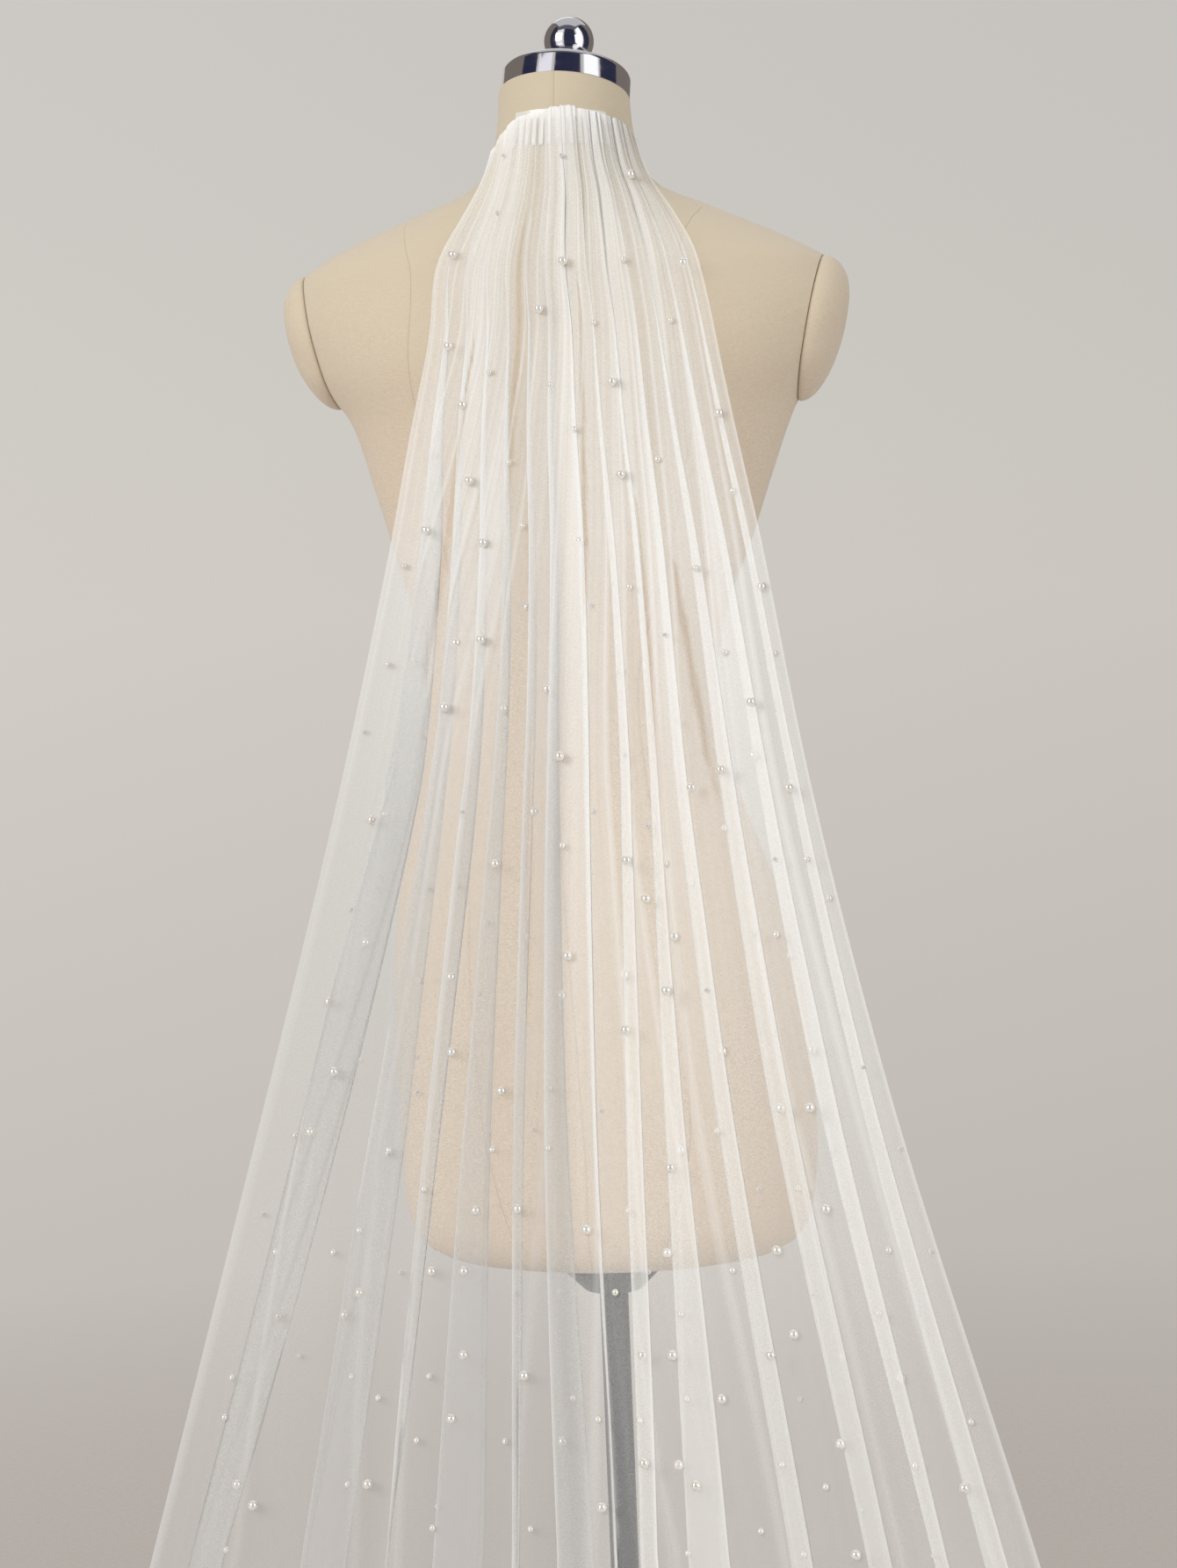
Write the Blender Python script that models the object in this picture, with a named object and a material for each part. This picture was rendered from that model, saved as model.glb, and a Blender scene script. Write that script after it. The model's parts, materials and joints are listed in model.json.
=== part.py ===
"""Bridal veil gathered on a comb, standing on a limbless dress form.

Metres, +Z up. The origin is the centre of the stand base's underside, on the pole's axis.
The back of the form, where the veil hangs, faces -Y, and the veil's train runs out along -Y.
The veil is one cloth in three stretches: over the back, falling free, and lying on the floor.
"""

import math

import bmesh
import bpy
from mathutils import Matrix, Vector

GAP = 0.0003  # between pieces that touch
WALL = 0.001  # the cloth's thickness
TIGHTEST = 0.0011  # radius of a fold's turn, which keeps the wall clear of itself
TURN = 2 * math.pi

# Stand, from the floor up
BASE_RADIUS = 0.170
BASE_HEIGHT = 0.016
SOCKET_HEIGHT = 0.050
SOCKET_FLOOR = 0.008
SOCKET_RADIUS = 0.022
POLE_RADIUS = 0.011
HUB_RADIUS = 0.041
HUB_HEIGHT = 0.030
HUB_SOCKET_DEPTH = 0.012

# Dress form
TORSO_BOTTOM = 0.758
NECK_TOP = 1.636
NECK_TILT = math.radians(18.5)  # the neck's top plane leans forward, so its back edge is higher
NECK_LEAN = math.radians(3)  # and its left edge is higher than its right
NECK_SHIFT = 0.003  # the neck's top centre lies this far forward of the pole
BUST_SPREAD = 0.078
BUST_HEIGHT = 1.372
BUST_RISE = 0.024
BUST_SIZE = 0.052
ARMHOLE_X = 0.185
ARMHOLE_SHIFT = -0.007
ARMHOLE_Y = -0.004
ARMHOLE_HEIGHT = 1.462
ARMHOLE_LEAN = math.radians(12)
ARMHOLE_SEARCH = 0.075  # farther from an armhole's middle than its edge anywhere
ARM_CAP_BULGE = 0.025
ARM_CAP_FULLNESS = (1.1, 0.6)  # the power that shapes the dome, at its bottom and at its top
TORSO_SIDES = 40

# height, half width, depth in front, depth behind, sideways shift, tilt in degrees
TORSO_RINGS = (
    (0.758, 0.112, 0.062, 0.076, 0.000, 0),
    (0.762, 0.133, 0.076, 0.092, 0.000, 0),
    (0.773, 0.1485, 0.088, 0.107, 0.000, 0),
    (0.795, 0.1570, 0.094, 0.116, 0.000, 0),
    (0.842, 0.1605, 0.097, 0.121, 0.001, 0),
    (0.915, 0.1600, 0.099, 0.124, -0.001, 0),
    (0.975, 0.1555, 0.099, 0.121, -0.004, 0),
    (1.035, 0.1455, 0.095, 0.111, -0.008, 0),
    (1.090, 0.1300, 0.088, 0.096, -0.012, 0),
    (1.140, 0.1155, 0.081, 0.083, -0.014, 0),
    (1.190, 0.1110, 0.079, 0.077, -0.014, 0),
    (1.245, 0.1185, 0.086, 0.080, -0.013, 0),
    (1.300, 0.1360, 0.099, 0.090, -0.009, 0),
    (1.350, 0.1515, 0.108, 0.100, -0.007, 0),
    (1.400, 0.1690, 0.106, 0.107, -0.005, 0),
    (1.440, 0.1980, 0.098, 0.1088, -0.006, 0),
    (1.475, 0.2100, 0.086, 0.1042, -0.006, 0),
    (1.505, 0.2020, 0.073, 0.0965, -0.008, 0),
    (1.524, 0.1740, 0.061, 0.0888, -0.011, 0),
    (1.540, 0.1385, 0.053, 0.0795, -0.010, 0),
    (1.554, 0.1040, 0.049, 0.0720, -0.007, 0),
    (1.566, 0.0745, 0.0475, 0.0652, -0.005, 1),
    (1.579, 0.0608, 0.048, 0.0615, -0.003, 2),
    (1.597, 0.0537, 0.050, 0.056, -0.0022, 5),
    (1.616, 0.0503, 0.0515, 0.052, -0.0020, 11),
    (1.636, 0.0490, 0.0525, 0.0465, -0.0020, 18.5),
)

# Chrome cap and finial on the neck
CAP_RADIUS = 0.0485
CAP_HEIGHT = 0.021
CAP_CROWN = 0.003
CAP_EDGE = 0.005
FINIAL_STEM_RADIUS = 0.009
FINIAL_STEM = 0.006
BALL_RADIUS = 0.019

# Comb
COMB_TOP = 1.613
COMB_BAR = 0.005
COMB_TOOTH = 0.016
COMB_HALF_ANGLE = 0.68
COMB_TURN = 0.09  # round the neck towards +X, as the veil is
COMB_TEETH = 14
COMB_THICKNESS = 0.0018

# Veil: where each fold lies across it, as a share of its width from its left edge, the share of
# its width that the fold lays over in three layers, and the side to which it leans. Folds 3, 5
# and 7 open out before the hem.
# fold, place at comb, place at waist, place at hem, lap at waist, lap at hem, lean
FOLDS = (
    (1, 0.045, 0.126, 0.067, 0.065, 0.025, -1),
    (2, 0.121, 0.215, 0.199, 0.053, 0.041, -1),
    (3, 0.197, 0.286, 0.275, 0.025, 0.000, -1),
    (4, 0.273, 0.347, 0.354, 0.040, 0.056, -1),
    (5, 0.349, 0.410, 0.422, 0.015, 0.000, -1),
    (6, 0.425, 0.463, 0.486, 0.041, 0.074, -1),
    (7, 0.500, 0.534, 0.533, 0.016, 0.000, 1),
    (8, 0.576, 0.615, 0.573, 0.040, 0.023, 1),
    (9, 0.652, 0.676, 0.640, 0.045, 0.060, 1),
    (10, 0.728, 0.735, 0.739, 0.030, 0.026, 1),
    (11, 0.803, 0.826, 0.825, 0.042, 0.029, 1),
    (12, 0.879, 0.903, 0.893, 0.040, 0.016, 1),
    (13, 0.955, 0.966, 0.953, 0.020, 0.027, 1),
)
HEM_LAP_HEIGHT = 0.65  # where the places and laps at the hem hold
WAIST_HEIGHT = 1.15
COMB_SHARE_HEIGHT = 1.60

# Veil: places along its middle line, from the comb to the end of the train. Half width and the
# shift towards +X are measured round the cloth. The most swing of a fold is in pitches, its depth is a share of its
# swing, and the depth of the fine gathers, two to a fold, is a share of a pitch. Rest is 1 where
# the cloth lies on the floor.
# place, y, z, half width, wrap radius, shift, most swing, depth, gather, rest
PLACES = (
    ("comb", -0.0560, 1.6245, 0.0600, 0.0560, 0.005, 0.3, 1.10, 0.42, 0),
    ("nape", -0.0700, 1.590, 0.0660, 0.082, 0.007, 0.6, 1.10, 0.26, 0),
    ("neck_base", -0.0887, 1.555, 0.0795, 0.160, 0.010, 0.9, 1.10, 0.20, 0),
    ("shoulder", -0.1082, 1.510, 0.0965, 0.400, 0.010, 1.2, 1.05, 0.16, 0),
    ("blades", -0.1163, 1.460, 0.1045, 0.500, 0.0125, 1.6, 1.00, 0.06, 0),
    ("back", -0.1340, 1.400, 0.1165, 0.600, 0.013, 1.9, 0.95, 0.04, 0),
    ("ribs", -0.1665, 1.300, 0.1355, 1.000, 0.016, 2.2, 0.90, 0.02, 0),
    ("waist", -0.2190, 1.150, 0.1645, 2.000, 0.017, 2.5, 0.85, 0.00, 0),
    ("hips", -0.2870, 0.950, 0.2120, 4.000, 0.020, 2.9, 0.80, 0.00, 0),
    ("thighs", -0.3900, 0.650, 0.2950, 6.000, 0.0325, 3.4, 0.75, 0.00, 0),
    ("calves", -0.5100, 0.300, 0.3900, 8.000, 0.046, 3.0, 0.62, 0.00, 0),
    ("ankles", -0.5800, 0.100, 0.4450, 9.000, 0.054, 2.2, 0.55, 0.00, 0.1),
    ("bend", -0.6150, 0.036, 0.4650, 9.000, 0.058, 1.6, 0.50, 0.00, 0.5),
    ("floor", -0.6750, 0.002, 0.4850, 9.000, 0.064, 1.0, 0.50, 0.00, 1),
    ("train", -0.8800, 0.000, 0.5250, 9.000, 0.080, 0.9, 0.48, 0.00, 1),
    ("spread", -1.1300, 0.000, 0.5300, 9.000, 0.092, 0.9, 0.44, 0.00, 1),
    ("end", -1.3400, 0.000, 0.4500, 9.000, 0.098, 0.9, 0.36, 0.00, 1),
)
PLACE_COLUMNS = ("y", "z", "half", "wrap", "shift", "swing", "depth", "gather", "rest")
TRAIN_FROM_Y = dict((row[0], row[1]) for row in PLACES)["floor"]
# stretch, first place, last place, points along each fold
STRETCHES = (
    ("veil_head", "comb", "back", 14),
    ("veil_fall", "back", "ankles", 12),
    ("veil_train", "ankles", "end", 10),
)
# swing of a fold that lays nothing over, and what a lap of its whole pitch adds: the lower holds
LAP_SWINGS = ((0.6, 8.0), (1.25, 3.4))
LEAN_CHANGE = (0.35, 0.65)  # where, between two folds, the lean goes from one's to the other's
TROUGH = -0.35  # a fold on the floor is flat below this part of its depth
CORNER_CUT = 0.55  # how much shorter the train is at its sides, which rounds its corners


def clear_scene():
    for obj in list(bpy.data.objects):
        bpy.data.objects.remove(obj, do_unlink=True)


def material(name, colour, roughness, metallic=0.0):
    made = bpy.data.materials.new(name)
    made.use_nodes = True
    shader = made.node_tree.nodes["Principled BSDF"]
    shader.inputs["Base Color"].default_value = (*colour, 1.0)
    shader.inputs["Roughness"].default_value = roughness
    shader.inputs["Metallic"].default_value = metallic
    return made


def mesh_object(name, points, faces, finish, sharp_angle=40):
    mesh = bpy.data.meshes.new(name)
    mesh.from_pydata([tuple(point) for point in points], [], faces)
    mesh.validate()
    obj = bpy.data.objects.new(name, mesh)
    bpy.context.scene.collection.objects.link(obj)
    mesh.materials.append(finish)
    mesh.shade_smooth()
    mesh.set_sharp_from_angle(angle=math.radians(sharp_angle))
    return obj


def between(value, first, last):
    """How far value lies from first to last, from 0 to 1."""
    return min(1.0, max(0.0, (value - first) / (last - first)))


def mix(first, last, share):
    return first + (last - first) * share


def ease(share):
    return share * share * (3 - 2 * share)


# Turned pieces


def turned(name, profile, sides, finish, place=None):
    """A body turned round its own Z from a profile of (radius, height), listed from its lowest
    point on the axis round its outside to its highest point on the axis."""
    points = []
    rings = []
    for radius, height in profile:
        if radius == 0:
            rings.append([len(points)])
            points.append((0, 0, height))
            continue
        rings.append(list(range(len(points), len(points) + sides)))
        for step in range(sides):
            angle = TURN * step / sides
            points.append((radius * math.cos(angle), radius * math.sin(angle), height))
    faces = []
    for low, high in zip(rings, rings[1:]):
        for step in range(sides):
            after = (step + 1) % sides
            if len(low) == 1:
                faces.append((low[0], high[after], high[step]))
            elif len(high) == 1:
                faces.append((low[step], low[after], high[0]))
            else:
                faces.append((low[step], low[after], high[after], high[step]))
    obj = mesh_object(name, points, faces, finish)
    if place is not None:
        obj.matrix_world = place
    return obj


def stand(dark):
    edge = 0.004
    turned(
        "stand_base",
        (
            (0, 0),
            (BASE_RADIUS - edge / 2, 0),
            (BASE_RADIUS, edge),
            (BASE_RADIUS, BASE_HEIGHT - edge),
            (BASE_RADIUS - edge, BASE_HEIGHT),
            (SOCKET_RADIUS + edge, BASE_HEIGHT + edge),
            (SOCKET_RADIUS, BASE_HEIGHT + 2 * edge),
            (SOCKET_RADIUS, SOCKET_HEIGHT - edge / 2),
            (SOCKET_RADIUS - edge / 2, SOCKET_HEIGHT),
            (POLE_RADIUS + GAP, SOCKET_HEIGHT),
            (POLE_RADIUS + GAP, SOCKET_FLOOR),
            (0, SOCKET_FLOOR),
        ),
        40,
        dark,
    )
    hub_bottom = TORSO_BOTTOM - GAP - HUB_HEIGHT
    pole_top = hub_bottom + HUB_SOCKET_DEPTH
    turned(
        "pole",
        (
            (0, SOCKET_FLOOR + GAP),
            (POLE_RADIUS, SOCKET_FLOOR + GAP),
            (POLE_RADIUS, pole_top),
            (0, pole_top),
        ),
        24,
        dark,
    )
    turned(
        "hub_plate",
        (
            (0, hub_bottom + HUB_SOCKET_DEPTH + GAP),
            (POLE_RADIUS + GAP, hub_bottom + HUB_SOCKET_DEPTH + GAP),
            (POLE_RADIUS + GAP, hub_bottom),
            (SOCKET_RADIUS, hub_bottom),
            (HUB_RADIUS - edge, hub_bottom + HUB_HEIGHT / 2),
            (HUB_RADIUS, hub_bottom + HUB_HEIGHT / 2 + edge),
            (HUB_RADIUS, TORSO_BOTTOM - GAP),
            (0, TORSO_BOTTOM - GAP),
        ),
        32,
        dark,
    )


# Dress form


def ring_at(height):
    """Half width, front, back, shift and tilt of the torso at a height, between its rings."""
    for lower, upper in zip(TORSO_RINGS, TORSO_RINGS[1:]):
        if height <= upper[0]:
            break
    share = between(height, lower[0], upper[0])
    return [mix(low, high, share) for low, high in zip(lower[1:], upper[1:])]


def torso_point(height, angle):
    """The torso's surface at a height and an angle, which runs from +X round by the front."""
    half, front, back, shift, tilt = ring_at(height)
    x = half * math.cos(angle)
    y = (front if math.sin(angle) > 0 else back) * math.sin(angle)
    if y > 0:
        off_peak = ((abs(x) - BUST_SPREAD) ** 2 + (height - BUST_HEIGHT) ** 2) / BUST_SIZE**2
        y += BUST_RISE * math.exp(-off_peak) * math.sin(angle)
    neck = between(height, TORSO_RINGS[-3][0], NECK_TOP)
    y += NECK_SHIFT * neck
    z = height - y * math.tan(math.radians(tilt)) - x * math.tan(NECK_LEAN) * neck
    return Vector((x + shift, y, z))


def armhole_frame(side):
    """The plane of an armhole: its Z points outward, and its Y runs up the torso."""
    outward = Vector((side * math.cos(ARMHOLE_LEAN), 0, -math.sin(ARMHOLE_LEAN)))
    upward = Vector((side * math.sin(ARMHOLE_LEAN), 0, math.cos(ARMHOLE_LEAN)))
    along = upward.cross(outward)
    frame = Matrix((along, upward, outward)).transposed().to_4x4()
    frame.translation = Vector((ARMHOLE_SHIFT + side * ARMHOLE_X, ARMHOLE_Y, ARMHOLE_HEIGHT))
    return frame


def cutter(name, frame, size):
    """A box whose inner face lies on the frame's plane."""
    made = bmesh.new()
    bmesh.ops.create_cube(made, size=size)
    bmesh.ops.translate(made, verts=made.verts, vec=(0, 0, size / 2))
    mesh = bpy.data.meshes.new(name)
    made.to_mesh(mesh)
    made.free()
    obj = bpy.data.objects.new(name, mesh)
    bpy.context.scene.collection.objects.link(obj)
    obj.matrix_world = frame
    obj.hide_render = True
    obj.display_type = "WIRE"
    return obj


def torso(linen):
    points = []
    faces = []
    for ring in TORSO_RINGS:
        for step in range(TORSO_SIDES):
            points.append(torso_point(ring[0], TURN * (step + 0.5) / TORSO_SIDES))
    for row in range(len(TORSO_RINGS) - 1):
        start = row * TORSO_SIDES
        for step in range(TORSO_SIDES):
            after = (step + 1) % TORSO_SIDES
            low, low_next = start + step, start + after
            faces.append((low, low_next, low_next + TORSO_SIDES, low + TORSO_SIDES))
    last = (len(TORSO_RINGS) - 1) * TORSO_SIDES
    faces.append(tuple(range(TORSO_SIDES - 1, -1, -1)))
    faces.append(tuple(range(last, last + TORSO_SIDES)))
    body = mesh_object("form_torso", points, faces, linen, sharp_angle=50)
    for side, word in ((-1, "left"), (1, "right")):
        cut = body.modifiers.new("armhole_" + word, "BOOLEAN")
        cut.operation = "DIFFERENCE"
        cut.object = cutter("armhole_cutter_" + word, armhole_frame(side), 0.3)


def in_torso(point):
    """Whether a point at armhole height lies inside the torso's rings."""
    half, front, back, shift, _ = ring_at(point.z)
    depth = front if point.y > 0 else back
    return ((point.x - shift) / half) ** 2 + (point.y / depth) ** 2 < 1


def armhole_reach(frame, direction):
    """How far the torso's cut face reaches from the middle of an armhole."""
    near, far = 0.0, ARMHOLE_SEARCH
    for _ in range(20):
        middle = (near + far) / 2
        if in_torso(frame @ (direction * middle)):
            near = middle
        else:
            far = middle
    return near


def arm_cap(name, side, linen):
    """A dome over an armhole, whose flat face has the outline of the torso's cut face."""
    steps, levels = 28, 6
    frame = armhole_frame(side)
    outline = []
    for step in range(steps):
        angle = TURN * step / steps
        direction = Vector((math.cos(angle), math.sin(angle), 0))
        outline.append(direction * armhole_reach(frame, direction))
    points = []
    faces = [tuple(range(steps - 1, -1, -1))]
    for level in range(levels):
        angle = 0.5 * math.pi * level / levels
        rise = GAP + ARM_CAP_BULGE * math.sin(angle)
        for step, edge in enumerate(outline):
            power = mix(*ARM_CAP_FULLNESS, 0.5 + 0.5 * math.sin(TURN * step / steps))
            spread = math.cos(angle) ** power
            points.append((edge.x * spread, edge.y * spread, rise))
    tip = len(points)
    points.append((0, 0, GAP + ARM_CAP_BULGE))
    for row in range(levels - 1):
        for step in range(steps):
            low, after = row * steps + step, row * steps + (step + 1) % steps
            faces.append((low, after, after + steps, low + steps))
    for step in range(steps):
        row = (levels - 1) * steps
        faces.append((row + step, row + (step + 1) % steps, tip))
    mesh_object(name, points, faces, linen).matrix_world = frame


def neck_frame():
    """The plane of the neck's top: its Z points up through the finial."""
    normal = Vector((math.tan(NECK_LEAN), math.tan(NECK_TILT), 1))
    frame = normal.to_track_quat("Z", "Y").to_matrix().to_4x4()
    middle_y = 2 * NECK_SHIFT
    middle_z = NECK_TOP - middle_y * math.tan(NECK_TILT)
    frame.translation = Vector((TORSO_RINGS[-1][4], middle_y, middle_z))
    return frame


def cap_and_finial(chrome):
    frame = neck_frame()
    crown = GAP + CAP_HEIGHT + CAP_CROWN
    turned(
        "neck_cap",
        (
            (0, GAP),
            (CAP_RADIUS - 0.001, GAP),
            (CAP_RADIUS, GAP + 0.001),
            (CAP_RADIUS, GAP + CAP_HEIGHT - CAP_EDGE),
            (CAP_RADIUS - 0.3 * CAP_EDGE, GAP + CAP_HEIGHT - 0.3 * CAP_EDGE),
            (CAP_RADIUS - CAP_EDGE, GAP + CAP_HEIGHT),
            (CAP_RADIUS / 2, GAP + CAP_HEIGHT + 0.75 * CAP_CROWN),
            (FINIAL_STEM_RADIUS, crown),
            (0, crown),
        ),
        36,
        chrome,
        frame,
    )
    ball_centre = crown + GAP + FINIAL_STEM + math.sqrt(BALL_RADIUS**2 - FINIAL_STEM_RADIUS**2)
    profile = [(0, crown + GAP), (FINIAL_STEM_RADIUS, crown + GAP)]
    first = -math.acos(FINIAL_STEM_RADIUS / BALL_RADIUS)
    arcs = 9
    for step in range(arcs):
        angle = mix(first, 0.5 * math.pi, step / arcs)
        profile.append(
            (BALL_RADIUS * math.cos(angle), ball_centre + BALL_RADIUS * math.sin(angle))
        )
    profile.append((0, ball_centre + BALL_RADIUS))
    turned("cap_finial", profile, 24, chrome, frame)


def comb(clear_plastic):
    """A bar and teeth that follow the neck, made from the neck's points moved out."""
    columns = 2 * COMB_TEETH - 1
    heights = (COMB_TOP, COMB_TOP - COMB_BAR, COMB_TOP - COMB_BAR - COMB_TOOTH)
    made = bmesh.new()
    grid = []
    for height in heights:
        row = []
        for column in range(columns + 1):
            swing = COMB_TURN + mix(-COMB_HALF_ANGLE, COMB_HALF_ANGLE, column / columns)
            on_neck = torso_point(height, -0.5 * math.pi + swing)
            out = Vector((math.sin(swing), -math.cos(swing), 0))
            row.append(made.verts.new(on_neck + out * GAP))
        grid.append(row)
    for row in range(2):
        for column in range(columns):
            if row == 0 or column % 2 == 0:
                made.faces.new(
                    (
                        grid[row][column],
                        grid[row + 1][column],
                        grid[row + 1][column + 1],
                        grid[row][column + 1],
                    )
                )
    bmesh.ops.delete(made, geom=[v for v in made.verts if not v.link_faces], context="VERTS")
    mesh = bpy.data.meshes.new("veil_comb")
    made.to_mesh(mesh)
    made.free()
    obj = bpy.data.objects.new("veil_comb", mesh)
    bpy.context.scene.collection.objects.link(obj)
    mesh.materials.append(clear_plastic)
    thick = obj.modifiers.new("thickness", "SOLIDIFY")
    thick.thickness = COMB_THICKNESS
    thick.offset = 1


# Veil


def fold_knots(height):
    """(phase, share of the width, lap, lean) along the cloth at a height. A fold's middle has a
    phase of half a turn more than a whole number, and the cloth's edges have whole numbers."""
    down = ease(between(COMB_SHARE_HEIGHT - height, 0, COMB_SHARE_HEIGHT - WAIST_HEIGHT))
    lower = between(WAIST_HEIGHT - height, 0, WAIST_HEIGHT - HEM_LAP_HEIGHT)
    knots = []
    for number, at_comb, at_waist, at_hem, lap_waist, lap_hem, lean in FOLDS:
        share = mix(mix(at_comb, at_waist, down), at_hem, lower)
        lap = mix(lap_waist, lap_hem, lower)
        knots.append((number - 0.5, share, lap, lean))
    first, last = knots[0], knots[-1]
    knots.insert(0, (0.0, 0.0, first[2] / 2, first[3]))
    knots.append((float(len(FOLDS)), 1.0, last[2] / 2, last[3]))
    return knots


def slope(knots, index, column):
    """The slope of a column at a knot, which keeps a rising column rising."""
    if index in (0, len(knots) - 1):
        near = 1 if index == 0 else len(knots) - 2
        return (knots[near][column] - knots[index][column]) / (knots[near][0] - knots[index][0])
    before, here, after = knots[index - 1], knots[index], knots[index + 1]
    left = (here[column] - before[column]) / (here[0] - before[0])
    right = (after[column] - here[column]) / (after[0] - here[0])
    return 2 * left * right / (left + right) if left * right > 0 else 0.0


def along_folds(knots, phase):
    """Share of the width, its rate for each turn, lap and lean at a phase."""
    index = 0
    while index < len(knots) - 2 and phase > knots[index + 1][0]:
        index += 1
    start, stop = knots[index], knots[index + 1]
    length = stop[0] - start[0]
    t = between(phase, start[0], stop[0])
    rise = stop[1] - start[1]
    first, last = slope(knots, index, 1) * length, slope(knots, index + 1, 1) * length
    share = start[1] + first * t + (3 * rise - 2 * first - last) * t**2
    share += (first + last - 2 * rise) * t**3
    rate = first + 2 * (3 * rise - 2 * first - last) * t + 3 * (first + last - 2 * rise) * t**2
    lap = mix(start[2], stop[2], ease(t))
    lean = mix(start[3], stop[3], ease(between(t, *LEAN_CHANGE)))
    return share, rate / length, lap, lean


def swing_for(lap):
    """How far a fold swings sideways, in pitches over a turn, to lay this share of its pitch
    over in three layers. Below a swing of 1 nothing is laid over."""
    return min(start + rise * lap for start, rise in LAP_SWINGS)


def fold_line(place, per_fold):
    """The cloth's middle line at a place, as (along the width, out from the form)."""
    knots = fold_knots(place["z"])
    width = 2 * place["half"]
    points = []
    count = len(FOLDS) * per_fold
    for step in range(count + 1):
        phase = step / per_fold
        share, rate, lap, lean = along_folds(knots, phase)
        pitch = rate * width / TURN
        turn = TURN * phase
        sharpest = math.hypot(1, place["depth"] ** 2 * pitch / TIGHTEST)
        swing = min(swing_for(lap / rate), place["swing"], sharpest)
        wave = math.sin(turn)
        settled = lean * wave
        resting = max(settled - TROUGH, 0.0) * 2 / (1 - TROUGH)
        out = place["depth"] * swing * pitch * mix(settled, resting, place["rest"])
        out += place["gather"] * pitch * math.sin(2 * turn + 1)
        along = (share - 0.5) * width + swing * pitch * wave
        points.append((along, out))
    return points


def walls(line):
    """The two faces of the wall along a middle line: inner and outer points."""
    inner, outer = [], []
    for index, (along, out) in enumerate(line):
        before = line[max(index - 1, 0)]
        after = line[min(index + 1, len(line) - 1)]
        run, rise = after[0] - before[0], after[1] - before[1]
        length = math.hypot(run, rise)
        side = (-rise / length * WALL / 2, run / length * WALL / 2)
        inner.append((along - side[0], out - side[1]))
        outer.append((along + side[0], out + side[1]))
    return inner, outer


def heading(index):
    """The direction of the veil's middle line in Y and Z at a place, down towards the hem."""
    before = PLACES[max(index - 1, 0)]
    after = PLACES[min(index + 1, len(PLACES) - 1)]
    run, fall = after[1] - before[1], after[2] - before[2]
    length = math.hypot(run, fall)
    return run / length, fall / length


def place_points(place, direction, line, share_to_end):
    """The wall's points at a place, wrapped round the form, in the part's frame."""
    along_y, along_z = direction
    out_y, out_z = along_z, -along_y
    made = []
    for side in walls(line):
        row = []
        for along, out in side:
            angle = (along + place["shift"]) / place["wrap"]
            reach = place["wrap"] + out
            lateral = reach * math.sin(angle)
            lift = reach * math.cos(angle) - place["wrap"]
            edge = min(abs(along) / place["half"], 1.0)
            short = CORNER_CUT * share_to_end * edge**3
            y = place["y"] + lift * out_y
            y = mix(y, TRAIN_FROM_Y, short)
            z = place["z"] + lift * out_z + place["rest"] * WALL / 2
            row.append(Vector((lateral, y, z)))
        made.append(row)
    inner, outer = made
    for low, high in zip(inner, outer):
        low.z = max(low.z, 0.0)
        high.z = max(high.z, low.z if place["rest"] < 1 else WALL)
    return inner, outer


def stretch_rows(first_name, last_name, per_fold):
    """Rows of wall points for a stretch of the veil, starting a gap past its first place."""
    names = [row[0] for row in PLACES]
    first, last = names.index(first_name), names.index(last_name)
    floor = names.index("floor")
    rows = []
    for index in range(first, last + 1):
        place = dict(zip(PLACE_COLUMNS, PLACES[index][1:]))
        direction = heading(index)
        if index == first and first > 0:
            place["y"] += direction[0] * GAP
            place["z"] += direction[1] * GAP
        share_to_end = between(index, floor, len(PLACES) - 1)
        line = fold_line(place, per_fold)
        rows.append(place_points(place, direction, line, share_to_end))
    return rows


def cloth(name, rows, tulle):
    """One closed wall through rows of inner and outer points."""
    width = len(rows[0][0])
    points = []
    for inner, outer in rows:
        points.extend(inner)
        points.extend(outer)
    faces = []

    def at(row, column, outer):
        return (2 * row + outer) * width + column

    for row in range(len(rows) - 1):
        for column in range(width - 1):
            a, b = at(row, column, 1), at(row, column + 1, 1)
            c, d = at(row + 1, column + 1, 1), at(row + 1, column, 1)
            faces.append((a, d, c, b))
            a, b = at(row, column, 0), at(row, column + 1, 0)
            c, d = at(row + 1, column + 1, 0), at(row + 1, column, 0)
            faces.append((a, b, c, d))
        for column, turned_round in ((0, False), (width - 1, True)):
            side = (
                at(row, column, 0),
                at(row + 1, column, 0),
                at(row + 1, column, 1),
                at(row, column, 1),
            )
            faces.append(side[::-1] if turned_round else side)
    last = len(rows) - 1
    for column in range(width - 1):
        faces.append(
            (at(0, column, 0), at(0, column, 1), at(0, column + 1, 1), at(0, column + 1, 0))
        )
        faces.append(
            (
                at(last, column, 0),
                at(last, column + 1, 0),
                at(last, column + 1, 1),
                at(last, column, 1),
            )
        )
    mesh_object(name, points, faces, tulle, sharp_angle=60)


def veil(tulle):
    for name, first, last, per_fold in STRETCHES:
        cloth(name, stretch_rows(first, last, per_fold), tulle)


def main():
    clear_scene()
    linen = material("linen", (0.74, 0.62, 0.48), 0.85)
    chrome = material("chrome", (0.80, 0.80, 0.80), 0.08, 1.0)
    dark = material("dark_paint", (0.025, 0.028, 0.045), 0.35)
    clear_plastic = material("comb_plastic", (0.85, 0.83, 0.78), 0.3)
    tulle = material("tulle", (0.86, 0.86, 0.83), 0.7)
    stand(dark)
    torso(linen)
    arm_cap("arm_cap_left", -1, linen)
    arm_cap("arm_cap_right", 1, linen)
    cap_and_finial(chrome)
    comb(clear_plastic)
    veil(tulle)


main()
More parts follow.
